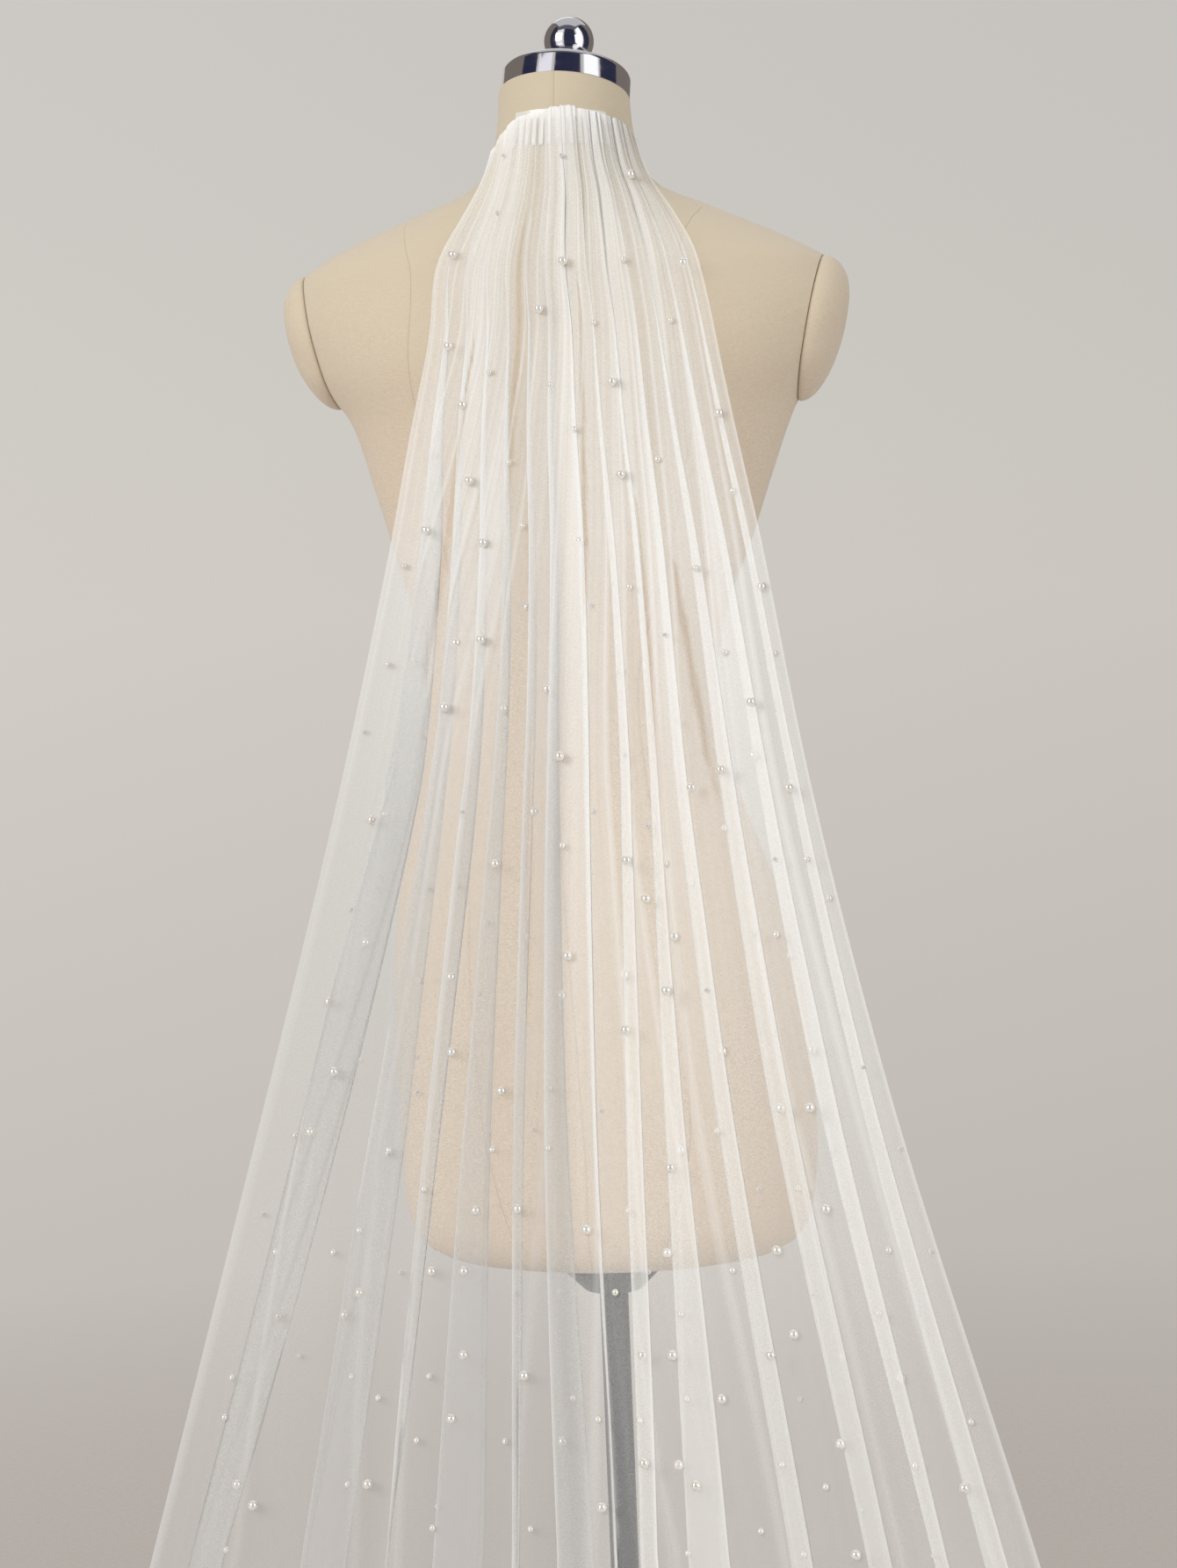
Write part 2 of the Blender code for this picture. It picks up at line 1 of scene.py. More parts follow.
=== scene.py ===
"""Looks of a pearl bridal veil on a limbless dress form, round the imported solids.

Metres, +Z up, in the part's frame: the origin is the centre of the stand base's underside, and
the back of the form, where the veil hangs, faces -Y. The fold and ring tables repeat the part's.
"""

import json
import math
import random

import bpy
import numpy as np
from mathutils import Matrix, Vector

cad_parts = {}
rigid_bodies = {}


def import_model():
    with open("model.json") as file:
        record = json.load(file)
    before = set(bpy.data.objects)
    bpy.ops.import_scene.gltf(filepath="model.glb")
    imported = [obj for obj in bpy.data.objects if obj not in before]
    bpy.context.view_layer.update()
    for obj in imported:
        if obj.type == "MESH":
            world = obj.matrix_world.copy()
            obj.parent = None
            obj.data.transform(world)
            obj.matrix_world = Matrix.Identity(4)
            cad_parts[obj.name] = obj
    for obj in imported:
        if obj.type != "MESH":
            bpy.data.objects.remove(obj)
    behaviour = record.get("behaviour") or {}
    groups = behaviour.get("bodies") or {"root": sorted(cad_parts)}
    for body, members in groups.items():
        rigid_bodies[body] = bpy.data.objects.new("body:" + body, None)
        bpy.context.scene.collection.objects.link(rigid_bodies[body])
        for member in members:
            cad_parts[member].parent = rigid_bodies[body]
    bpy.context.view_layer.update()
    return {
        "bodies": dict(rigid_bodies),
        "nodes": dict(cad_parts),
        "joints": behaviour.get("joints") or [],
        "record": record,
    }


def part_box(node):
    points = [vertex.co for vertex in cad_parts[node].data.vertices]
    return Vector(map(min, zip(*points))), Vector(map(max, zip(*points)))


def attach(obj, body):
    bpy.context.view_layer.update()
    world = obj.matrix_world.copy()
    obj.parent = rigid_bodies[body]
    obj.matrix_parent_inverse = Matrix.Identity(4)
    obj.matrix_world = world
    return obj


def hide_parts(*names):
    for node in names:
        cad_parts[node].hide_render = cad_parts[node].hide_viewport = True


TURN = 2 * math.pi
GAP = 0.0003

# Camera, on the photo's frame of 1340 by 1785 pixels
PHOTO_HEIGHT = 1785
FOCAL_PIXELS = 3825
SENSOR = 36.0
CAMERA_DISTANCE = 2.55  # from the form's axis, over the floor
CAMERA_AZIMUTH = math.radians(8.5)  # from straight behind, towards +X
CAMERA_HEIGHT = 1.365
CAMERA_PITCH = math.radians(5.5)  # downward
CAMERA_ROLL = math.radians(2.3)
AXIS_PIXELS_RIGHT = 6  # the form's axis lies this far right of the picture's middle

# Dress form
NECK_TOP = 1.636
NECK_TILT = math.radians(18.5)
NECK_LEAN = math.radians(3)
NECK_SHIFT = 0.003
BUST_SPREAD = 0.078
BUST_HEIGHT = 1.372
BUST_RISE = 0.024
BUST_SIZE = 0.052
ARMHOLE_X = 0.185
ARMHOLE_SHIFT = -0.007
ARMHOLE_Y = -0.004
ARMHOLE_HEIGHT = 1.462
ARMHOLE_LEAN = math.radians(12)
ARMHOLE_SEARCH = 0.075
ARMHOLE_CUT = 0.15  # half the side of the block that cuts it
ARM_CAP_BULGE = 0.025
ARM_CAP_FULLNESS = (1.1, 0.6)
ARM_CAP_STEPS = (112, 26)  # round it, and up to its tip
ARM_CAP_EDGE = 0.0012  # how far the cap's rim is rounded in at its seam

# height, half width, depth in front, depth behind, sideways shift, tilt in degrees
TORSO_RINGS = (
    (0.758, 0.112, 0.062, 0.076, 0, 0),
    (0.762, 0.133, 0.076, 0.092, 0, 0),
    (0.773, 0.1485, 0.088, 0.107, 0, 0),
    (0.795, 0.157, 0.094, 0.116, 0, 0),
    (0.842, 0.1605, 0.097, 0.121, 0.001, 0),
    (0.915, 0.16, 0.099, 0.124, -0.001, 0),
    (0.975, 0.1555, 0.099, 0.121, -0.004, 0),
    (1.035, 0.1455, 0.095, 0.111, -0.008, 0),
    (1.09, 0.13, 0.088, 0.096, -0.012, 0),
    (1.14, 0.1155, 0.081, 0.083, -0.014, 0),
    (1.19, 0.111, 0.079, 0.077, -0.014, 0),
    (1.245, 0.1185, 0.086, 0.08, -0.013, 0),
    (1.3, 0.136, 0.099, 0.09, -0.009, 0),
    (1.35, 0.1515, 0.108, 0.1, -0.007, 0),
    (1.4, 0.169, 0.106, 0.107, -0.005, 0),
    (1.44, 0.198, 0.098, 0.1088, -0.006, 0),
    (1.475, 0.21, 0.086, 0.1042, -0.006, 0),
    (1.505, 0.202, 0.073, 0.0965, -0.008, 0),
    (1.524, 0.174, 0.061, 0.0888, -0.011, 0),
    (1.54, 0.1385, 0.053, 0.0795, -0.01, 0),
    (1.554, 0.104, 0.049, 0.072, -0.007, 0),
    (1.566, 0.0745, 0.0475, 0.0652, -0.005, 1),
    (1.579, 0.0608, 0.048, 0.0615, -0.003, 2),
    (1.597, 0.0537, 0.05, 0.056, -0.0022, 5),
    (1.616, 0.0503, 0.0515, 0.052, -0.002, 11),
    (1.636, 0.049, 0.0525, 0.0465, -0.002, 18.5),
)
# height, distance of the princess seams from the middle, at the back
PRINCESS_SEAM = (
    (0.758, 0.05), (0.88, 0.078), (0.97, 0.079), (1.05, 0.074), (1.19, 0.06),
    (1.3, 0.085), (1.44, 0.105), (1.51, 0.1), (1.552, 0.113),
)
PRINCESS_FADE = (1.545, 1.556)  # heights over which they end, on the shoulder
SEAM_OFFSETS = (-0.004, -0.0016, -0.0006, 0.0, 0.0006, 0.0016, 0.004)
SEAM_DEPTHS = (0.0, 0.0, -0.0003, -0.0005, -0.0003, 0.0, 0.0)
SEAM_MARK = 0.45  # how clear the seam's line is
PANEL_COLUMNS = 13
TORSO_ROW = 0.0075  # height of a row of its cover's faces
LINEN_SHADE_HEIGHTS = (1.30, 1.58)  # heights between which the linen's colour turns from warm and light to darker and greener: painted shade towards the shoulders and neck

# Chrome cap and finial on the neck
CAP_RADIUS = 0.0485
CAP_HEIGHT = 0.021
CAP_CROWN = 0.003
CAP_EDGE = 0.005
CAP_LIP = 0.0016
FINIAL_FOOT = (0.002, 0.0015)  # how far its stem's foot flares, and how high
FINIAL_STEM_RADIUS = 0.009
FINIAL_STEM = 0.006
BALL_RADIUS = 0.019

# Stand
BASE_PLATE = 0.016
SOCKET_RADIUS = 0.022

# Veil: where each fold lies across it, as a share of its width from its left edge, the share of
# its width that the fold lays over in three layers, and the side to which it leans
# fold, place at comb, place at waist, place at hem, lap at waist, lap at hem, lean
FOLDS = (
    (1, 0.045, 0.126, 0.067, 0.065, 0.025, -1),
    (2, 0.121, 0.215, 0.199, 0.053, 0.041, -1),
    (3, 0.197, 0.286, 0.275, 0.025, 0, -1),
    (4, 0.273, 0.347, 0.354, 0.04, 0.056, -1),
    (5, 0.349, 0.41, 0.422, 0.015, 0, -1),
    (6, 0.425, 0.463, 0.486, 0.041, 0.074, -1),
    (7, 0.5, 0.534, 0.533, 0.016, 0, 1),
    (8, 0.576, 0.615, 0.573, 0.04, 0.023, 1),
    (9, 0.652, 0.676, 0.64, 0.045, 0.06, 1),
    (10, 0.728, 0.735, 0.739, 0.03, 0.026, 1),
    (11, 0.803, 0.826, 0.825, 0.042, 0.029, 1),
    (12, 0.879, 0.903, 0.893, 0.04, 0.016, 1),
    (13, 0.955, 0.966, 0.953, 0.02, 0.027, 1),
)
HEM_LAP_HEIGHT = 0.65
WAIST_HEIGHT = 1.15
COMB_SHARE_HEIGHT = 1.60
# place, y, z, half width, wrap radius, shift, most swing, depth, gather, rest
PLACES = (
    ("comb", -0.056, 1.6245, 0.06, 0.056, 0.005, 0.3, 1.1, 0.42, 0),
    ("nape", -0.07, 1.59, 0.066, 0.082, 0.007, 0.6, 1.1, 0.26, 0),
    ("neck_base", -0.0887, 1.555, 0.0795, 0.16, 0.01, 0.9, 1.1, 0.2, 0),
    ("shoulder", -0.1082, 1.51, 0.0965, 0.4, 0.01, 1.2, 1.05, 0.16, 0),
    ("blades", -0.1163, 1.46, 0.1045, 0.5, 0.0125, 1.6, 1, 0.06, 0),
    ("back", -0.134, 1.4, 0.1165, 0.6, 0.013, 1.9, 0.95, 0.04, 0),
    ("ribs", -0.1665, 1.3, 0.1355, 1, 0.016, 2.2, 0.9, 0.02, 0),
    ("waist", -0.219, 1.15, 0.1645, 2, 0.017, 2.5, 0.85, 0, 0),
    ("hips", -0.287, 0.95, 0.212, 4, 0.02, 2.9, 0.8, 0, 0),
    ("thighs", -0.39, 0.65, 0.295, 6, 0.0325, 3.4, 0.75, 0, 0),
    ("calves", -0.51, 0.3, 0.39, 8, 0.046, 3, 0.62, 0, 0),
    ("ankles", -0.58, 0.1, 0.445, 9, 0.054, 2.2, 0.55, 0, 0.1),
    ("bend", -0.615, 0.036, 0.465, 9, 0.058, 1.6, 0.5, 0, 0.5),
    ("floor", -0.675, 0.002, 0.485, 9, 0.064, 1, 0.5, 0, 1),
    ("train", -0.88, 0, 0.525, 9, 0.08, 0.9, 0.48, 0, 1),
    ("spread", -1.13, 0, 0.53, 9, 0.092, 0.9, 0.44, 0, 1),
    ("end", -1.34, 0, 0.45, 9, 0.098, 0.9, 0.36, 0, 1),
)
PLACE_COLUMNS = ("y", "z", "half", "wrap", "shift", "swing", "depth", "gather", "rest")
TRAIN_FROM_Y = dict((row[0], row[1]) for row in PLACES)["floor"]
LAP_SWINGS = ((0.6, 8.0), (1.25, 3.4))
LEAN_CHANGE = (0.35, 0.65)
TROUGH = -0.35
CORNER_CUT = 0.55
SHEET_LIFT = 0.0006  # the thin sheet lies this far above the floor
VEIL_ROWS = 168
COLUMNS_PER_FOLD = 44
CLUSTER = 0.6  # how much the columns crowd at a fold's turns
TIGHTEST = 0.0006  # of the pleats' turns
CUT_WIDTH = 1.50  # of the flat cloth at its hem
# The sheet of net: how it covers and catches light
LAYER_COVER = 0.178  # how much of what is behind it one flat layer hides
CREASE_COVER = 0.74  # and how much of the rest a crease hides
NET_SOFTNESS = 0.90  # share of the shading that turns from the folds to the main light
NET_FACING = (-0.40, -0.78, 0.48)  # towards the main light
SLANT = 1.45  # how much denser the net looks where it is finely gathered, high on the back
SLANT_FADE = (0.90, 1.35)  # heights between which it sets in, as in the other fades
DENSEST = 4.5  # layers that the finest gathers count for
MARGIN = 0.13  # share of the width at each side where the cloth hangs in one sheer layer
MARGIN_SHEER = 0.45
MARGIN_FADE = (0.95, 1.25)
PARTING_SHEER = 0.88
BAND_DENSITY = (0.55, 1.45)  # of each half fold
BAND_FADE = (0.95, 1.30)
HEADER = 0.020  # length of the dense gathered band at the comb
HEADER_MORE = 0.9
STRIPS = 30  # fine laps drawn across the width, of unequal width
STRIP_SWAY = 1.8  # how many strips' widths they sway by
STRIP_FADE = (0.55, 0.95, 0.85, 0.35)  # lengths down the cloth, strength at each
CREASE_STRENGTH = (0.55, 1.0)
CREASE_WIDTHS = (0.0022, 0.0011)  # low and high on the back
HEM_WIDTH = 0.0016
SIDE_CREASE = 0.5  # how clear the cloth's own edges are
END_CREASE = 0.8
TOP_CREASE_LENGTH = 0.003
# Fine waves high on the back
FLATTEN = 0.34  # how flat the net lies there, as a share of the solid's depth
FLATTEN_FADE = (1.10, 1.40)
WAVES = 9
WAVE_TIMES = (1.6, 8.0)  # waves to a fold
WAVE_SIZE = 0.16  # of a wave as long as its fold, as a share of its pitch
WAVE_SWELL = (0.6, 0.4, 0.23)  # steady part, swelling part, swells to a fold
WAVE_DRIFT = 0.9
WAVE_FADE = (1.25, 1.60)
EDGE_REACH = 0.055  # the ragged top edge fades out over this length
FRILL = 0.0009
# share of the width, how far the cloth's top edge drops there
TOP_EDGE = (
    (0, 0.023), (0.05, 0.016), (0.13, 0.0075), (0.21, 0.004), (0.36, 0.004),
    (0.42, 0.0015), (0.48, 0), (0.56, 0.0002), (0.6, 0.002), (0.75, 0.0038),
    (0.89, 0.0045), (0.96, 0.0105), (1, 0.014),
)
# thin places where the folds part: share of the width at top and bottom, heights, half width
PARTINGS = (
    (0.68, 0.69, 1.335, 1.08, 0.0075),
    (0.757, 0.802, 1.31, 1.13, 0.0085),
    (0.413, 0.43, 1.175, 0.975, 0.0065),
    (0.33, 0.322, 1.545, 1.33, 0.01),
    (0.545, 0.53, 1.5, 1.25, 0.008),
    (0.17, 0.15, 1.47, 1.2, 0.009),
)
VEIL_SEED = 11

# Pearls and crystals
PEARL_SPACING = 0.047
PEARL_TRIES = 26000
PEARL_FREE = (0.012, 0.02, 0.006)  # bare cloth at the top, the end and the sides
# name, slot, radius, segments, levels, share of all with those before it
PEARLS = (
    ("pearls_large", "pearl", 0.0035, 14, 9, 0.42),
    ("pearls_small", "pearl", 0.0023, 12, 8, 0.8),
    ("crystals", "crystal", 0.0017, 7, 5, 1),
)
PEARL_SEED = 5


def between(value, first, last):
    return min(1.0, max(0.0, (value - first) / (last - first)))


def mix(first, last, share):
    return first + (last - first) * share


def ease(share):
    return share * share * (3 - 2 * share)


def smooth_curve(places, values, index, t):
    """Value and rate of a smooth curve in a stretch of a table, which it doesn't overshoot."""
    steps = np.diff(places)
    slopes = np.diff(values) / steps
    at_places = np.empty(len(values))
    at_places[0], at_places[-1] = slopes[0], slopes[-1]
    both = slopes[:-1] * slopes[1:]
    safe = np.where(both > 0, slopes[:-1] + slopes[1:], 1)
    at_places[1:-1] = np.where(both > 0, 2 * both / safe, 0)
    rise = values[index + 1] - values[index]
    first, last = at_places[index] * steps[index], at_places[index + 1] * steps[index]
    square, cube = 3 * rise - 2 * first - last, first + last - 2 * rise
    value = values[index] + first * t + square * t**2 + cube * t**3
    return value, (first + 2 * square * t + 3 * cube * t**2) / steps[index]


def smooth_table(where, places, values):
    """A value from a table at a place."""
    places, values = np.asarray(places, float), np.asarray(values, float)
    where = np.clip(where, places[0], places[-1])
    index = np.clip(np.searchsorted(places, where, side="right") - 1, 0, len(places) - 2)
    t = (where - places[index]) / (places[index + 1] - places[index])
    return smooth_curve(places, values, index, t)[0]


def new_object(name, data):
    obj = bpy.data.objects.new(name, data)
    bpy.context.scene.collection.objects.link(obj)
    return obj


def ring_points(radius, height, sides):
    turns = [TURN * step / sides for step in range(sides)]
    return [(radius * math.cos(turn), radius * math.sin(turn), height) for turn in turns]


def ring_numbers(rings, sides, start=0):
    return [range(start + ring * sides, start + (ring + 1) * sides) for ring in range(rings)]


def ring_faces(rings):
    """Faces between rings of points' numbers, of which the first and last may be one point."""
    faces = []
    for low, high in zip(rings, rings[1:]):
        sides = max(len(low), len(high))
        for step in range(sides):
            after = (step + 1) % sides
            if len(low) == 1:
                faces.append((low[0], high[after], high[step]))
            elif len(high) == 1:
                faces.append((low[step], low[after], high[0]))
            else:
                faces.append((low[step], low[after], high[after], high[step]))
    return faces


def mesh_piece(name, points, faces, finish, sharp_angle=40):
    mesh = bpy.data.meshes.new(name)
    mesh.from_pydata([tuple(map(float, point)) for point in points], [], faces)
    mesh.validate()
    obj = new_object(name, mesh)
    mesh.materials.append(finish)
    mesh.shade_smooth()
    mesh.set_sharp_from_angle(angle=math.radians(sharp_angle))
    return obj


# Materials

NOISE_SPAN = (0.3, 0.7)  # nearly all of a noise lies in here


def map_range(tree, source, low, high, to_low, to_high):
    node = tree.nodes.new("ShaderNodeMapRange")
    node.inputs["From Min"].default_value = low
    node.inputs["From Max"].default_value = high
    node.inputs["To Min"].default_value = to_low
    node.inputs["To Max"].default_value = to_high
    tree.links.new(source, node.inputs["Value"])
    return node.outputs["Result"]


class Nodes:
    """A material's node tree, with short ways to add and join nodes."""

    def __init__(self, name, roughness, metallic=0.0):
        self.material = bpy.data.materials.new(name)
        self.material.use_nodes = True
        self.tree = self.material.node_tree
        self.shader = self.tree.nodes["Principled BSDF"]
        self.set("Roughness", roughness)
        self.set("Metallic", metallic)

    def set(self, socket, value):
        self.shader.inputs[socket].default_value = value

    def feed(self, socket, source):
        self.join(source, self.shader.inputs[socket])

    def add(self, kind, **values):
        node = self.tree.nodes.new(kind)
        for key, value in values.items():
            setattr(node, key, value)
        return node

    def join(self, source, target):
        self.tree.links.new(source, target)

    def noise(self, vector, scale, detail=3.0, roughness=0.5):
        node = self.add("ShaderNodeTexNoise")
        node.inputs["Scale"].default_value = scale
        node.inputs["Detail"].default_value = detail
        node.inputs["Roughness"].default_value = roughness
        self.join(vector, node.inputs["Vector"])
        return node.outputs["Fac"]

    def streaks(self, vector, scales, detail=3.0, roughness=0.5):
        """Noise with its own scale along each axis."""
        node = self.add("ShaderNodeMapping")
        node.inputs["Scale"].default_value = scales
        self.join(vector, node.inputs["Vector"])
        return self.noise(node.outputs["Vector"], 1.0, detail, roughness)

    def strips(self, across, feature, output):
        """Strips of unequal width: a colour of each one's own, or the distance to its edge."""
        node = self.add("ShaderNodeTexVoronoi", voronoi_dimensions="1D", feature=feature)
        node.inputs["Scale"].default_value = 1.0
        self.join(across, node.inputs["W"])
        return node.outputs[output]

    def remap(self, value, low, high, to_low, to_high):
        return map_range(self.tree, value, low, high, to_low, to_high)

    def spread(self, noise, to_low, to_high):
        return self.remap(noise, *NOISE_SPAN, to_low, to_high)

    def math(self, operation, first, second, clamp=False):
        node = self.add("ShaderNodeMath", operation=operation, use_clamp=clamp)
        for index, value in enumerate((first, second)):
            if isinstance(value, (int, float)):
                node.inputs[index].default_value = value
            else:
                self.join(value, node.inputs[index])
        return node.outputs[0]

    def vector(self, operation, *values):
        node = self.add("ShaderNodeVectorMath", operation=operation)
        for index, value in enumerate(values):
            if isinstance(value, tuple):
                node.inputs[index].default_value = value
            else:
                self.join(value, node.inputs[index])
        return node

    def split(self, vector):
        node = self.add("ShaderNodeSeparateXYZ")
        self.join(vector, node.inputs[0])
        return node.outputs

    def blend(self, share, first, second):
        node = self.add("ShaderNodeMix", data_type="RGBA")
        self.join(share, node.inputs["Factor"])
        for name, value in (("A", first), ("B", second)):
            socket = [s for s in node.inputs if s.name == name and s.type == "RGBA"][0]
            if isinstance(value, tuple):
                socket.default_value = (*value, 1)
            else:
                self.join(value, socket)
        return [s for s in node.outputs if s.type == "RGBA"][0]

    def mottle(self, noise, first, second):
        return self.blend(self.spread(noise, 0, 1), first, second)

    def attribute(self, name):
        return self.add("ShaderNodeAttribute", attribute_name=name).outputs["Fac"]

    def bump(self, height, strength, distance):
        node = self.add("ShaderNodeBump")
        node.inputs["Strength"].default_value = strength
        node.inputs["Distance"].default_value = distance
        self.join(height, node.inputs["Height"])
        self.feed("Normal", node.outputs["Normal"])

    def place(self):
        return self.add("ShaderNodeTexCoord").outputs["Object"]


def linen_material():
    made = Nodes("linen_cover", 0.88)
    made.set("Sheen Weight", 0.25)
    made.set("Sheen Roughness", 0.5)
    place = made.place()
    warp = made.streaks(place, (2600, 2600, 260), 2)
    weft = made.streaks(place, (260, 260, 2600), 2)
    weave = made.math("MULTIPLY", made.math("ADD", warp, weft), 0.5)
    slub = made.streaks(place, (90, 90, 900))
    # painted shade: the cover's colour turns darker and greener from the ribs up to the neck, for
    # how the light falls there
    high = made.remap(made.split(place)["Z"], *LINEN_SHADE_HEIGHTS, 0, 1)
    plain = made.blend(high, (0.885, 0.733, 0.60), (0.625, 0.557, 0.405))
    light = made.blend(high, (0.915, 0.777, 0.649), (0.652, 0.595, 0.443))
    cover = made.mottle(made.noise(place, 9.0, 4), plain, light)
    grain = made.blend(made.remap(weave, 0.38, 0.62, 0, 1), (0.69, 0.582, 0.448), cover)
    fleck = made.remap(slub, 0.62, 0.8, 0.0, 0.35)
    shaded = made.blend(fleck, grain, (0.60, 0.508, 0.383))
    made.feed("Base Color", made.blend(made.attribute("seam"), shaded, (0.35, 0.275, 0.192)))
    made.bump(made.math("ADD", weave, slub), 0.35, 0.0006)
    return made.material


def chrome_material():
    made = Nodes("chrome_plate", 0.06, 1.0)
    made.set("Base Color", (0.82, 0.82, 0.84, 1))
    smear = made.streaks(made.place(), (30, 30, 120), 4)
    made.feed("Roughness", made.remap(smear, 0.35, 0.75, 0.04, 0.16))
    return made.material


def dark_material():
    made = Nodes("dark_paint", 0.35)
    made.set("Coat Weight", 0.1)
    made.set("Specular IOR Level", 0.25)
    made.set("Coat Roughness", 0.2)
    place = made.place()
    cloudy = made.noise(place, 14.0, 4)
    made.feed("Base Color", made.mottle(cloudy, (0.012, 0.013, 0.024), (0.020, 0.022, 0.038)))
    made.feed("Roughness", made.spread(cloudy, 0.28, 0.42))
    made.bump(made.noise(place, 260.0, 2), 0.12, 0.0004)
    return made.material


def comb_material():
    made = Nodes("clear_comb", 0.28)
    made.set("Coat Weight", 0.5)
    cloudy = made.noise(made.place(), 180.0)
    made.feed("Base Color", made.blend(cloudy, (0.80, 0.78, 0.73), (0.88, 0.87, 0.83)))
    made.feed("Roughness", made.spread(cloudy, 0.2, 0.34))
    return made.material


def pearl_material():
    made = Nodes("pearl_lustre", 0.12, 0.4)
    made.set("Coat Weight", 1.0)
    made.set("Coat Roughness", 0.04)
    cloudy = made.noise(made.place(), 55.0, 2)
    made.feed("Base Color", made.mottle(cloudy, (0.97, 0.93, 0.86), (0.99, 0.98, 0.94)))
    return made.material


def crystal_material():
    made = Nodes("crystal_foil", 0.12, 0.35)
    cloudy = made.noise(made.place(), 80.0, 1)
    made.feed("Base Color", made.mottle(cloudy, (0.86, 0.87, 0.92), (0.98, 0.98, 0.97)))
    return made.material


def tulle_material():
    """One sheet of net. Its alpha is the cover of one layer, raised by the attribute gathers, by
    streaks and fine laps drawn down the cloth, and by creases, where the cloth turns on edge."""
    made = Nodes("tulle_net", 0.85)
    made.set("Sheen Weight", 0.15)
    made.set("Sheen Roughness", 0.4)
    uv = made.add("ShaderNodeUVMap", uv_map="cloth").outputs["UV"]
    flat = made.split(uv)
    gathers = made.attribute("gathers")
    fine = made.spread(made.streaks(uv, (210, 1.3, 1), 3, 0.55), -0.5, 0.5)
    broad = made.spread(made.streaks(uv, (48, 0.8, 1), 2), -0.4, 0.4)
    streak = made.math("ADD", fine, broad)
    strength = made.remap(gathers, 1.0, 6.0, 0.22, 0.60)
    sway = made.math("MULTIPLY", made.streaks(uv, (4, 0.9, 1), 1), STRIP_SWAY)
    across = made.math("ADD", made.math("MULTIPLY", flat["X"], STRIPS), sway)
    upper = made.remap(flat["Y"], *STRIP_FADE)
    strip = made.remap(made.strips(across, "F1", "Color"), 0.15, 0.85, -0.38, 0.5)
    to_edge = made.strips(across, "DISTANCE_TO_EDGE", "Distance")
    line = made.math("MULTIPLY", made.remap(to_edge, 0.02, 0.09, 0.55, 0.0), upper)
    spread = made.math("ADD", 1.0, made.math("MULTIPLY", streak, strength))
    layers = made.math("MULTIPLY", gathers, made.math("MAXIMUM", spread, 0.25))
    dense = made.math("ADD", 1.0, made.math("MULTIPLY", strip, upper))
    layers = made.math("MULTIPLY", layers, dense)
    net = made.spread(made.streaks(made.place(), (900, 900, 900), 1), 0.86, 1.14)
    layers = made.math("MULTIPLY", layers, net)
    crease = made.math("MAXIMUM", made.attribute("crease"), line)
    clear = made.math("POWER", 1 - LAYER_COVER, layers)
    bare = made.math("SUBTRACT", 1.0, made.math("MULTIPLY", crease, CREASE_COVER))
    made.feed("Alpha", made.math("SUBTRACT", 1.0, made.math("MULTIPLY", clear, bare), clamp=True))
    # painted highlight: the net's colour is a little whiter along its creases, the drawn laps'
    # edges and its own edges, besides the real extra cover there
    made.feed("Base Color", made.blend(crease, (0.97, 0.975, 0.965), (0.99, 0.99, 0.985)))
    made.feed("Normal", evened_normal(made))
    return made.material


def evened_normal(made):
    """The net's normal, turned towards the main light on the side where the light is, and to the
    mirrored direction on the other side."""
    normal = made.add("ShaderNodeNewGeometry").outputs["Normal"]
    scaled = made.vector("SCALE", normal)
    scaled.inputs["Scale"].default_value = 1 - NET_SOFTNESS
    side = made.remap(made.split(normal)["Y"], -0.2, 0.2, 1.0, -1.0)
    sides = made.add("ShaderNodeCombineXYZ")
    sides.inputs["Z"].default_value = 1.0
    made.join(side, sides.inputs["X"])
    made.join(side, sides.inputs["Y"])
    light = tuple(NET_SOFTNESS * value for value in NET_FACING)
    facing = made.vector("MULTIPLY", sides.outputs[0], light)
    turned_out = made.vector("ADD", scaled.outputs[0], facing.outputs[0])
    return made.vector("NORMALIZE", turned_out.outputs[0]).outputs[0]


# Veil


def fold_knots(height):
    down = ease(between(COMB_SHARE_HEIGHT - height, 0, COMB_SHARE_HEIGHT - WAIST_HEIGHT))
    lower = between(WAIST_HEIGHT - height, 0, WAIST_HEIGHT - HEM_LAP_HEIGHT)
    knots = []
    for number, at_comb, at_waist, at_hem, lap_waist, lap_hem, lean in FOLDS:
        share = mix(mix(at_comb, at_waist, down), at_hem, lower)
        knots.append((number - 0.5, share, mix(lap_waist, lap_hem, lower), lean))
    first, last = knots[0], knots[-1]
    knots.insert(0, (0.0, 0.0, first[2] / 2, first[3]))
    knots.append((float(len(FOLDS)), 1.0, last[2] / 2, last[3]))
    return np.array(knots, float)


def along_folds(knots, phase):
    """Share of the width, its rate for each turn, lap and lean at each phase."""
    turns = knots[:, 0]
    index = np.clip(np.searchsorted(turns, phase, side="left") - 1, 0, len(turns) - 2)
    t = np.clip((phase - turns[index]) / (turns[index + 1] - turns[index]), 0, 1)
    share, rate = smooth_curve(turns, knots[:, 1], index, t)
    lap = knots[index, 2] + (knots[index + 1, 2] - knots[index, 2]) * ease(t)
    change = np.clip((t - LEAN_CHANGE[0]) / (LEAN_CHANGE[1] - LEAN_CHANGE[0]), 0, 1)
    lean = knots[index, 3] + (knots[index + 1, 3] - knots[index, 3]) * ease(change)
    return share, rate, lap, lean


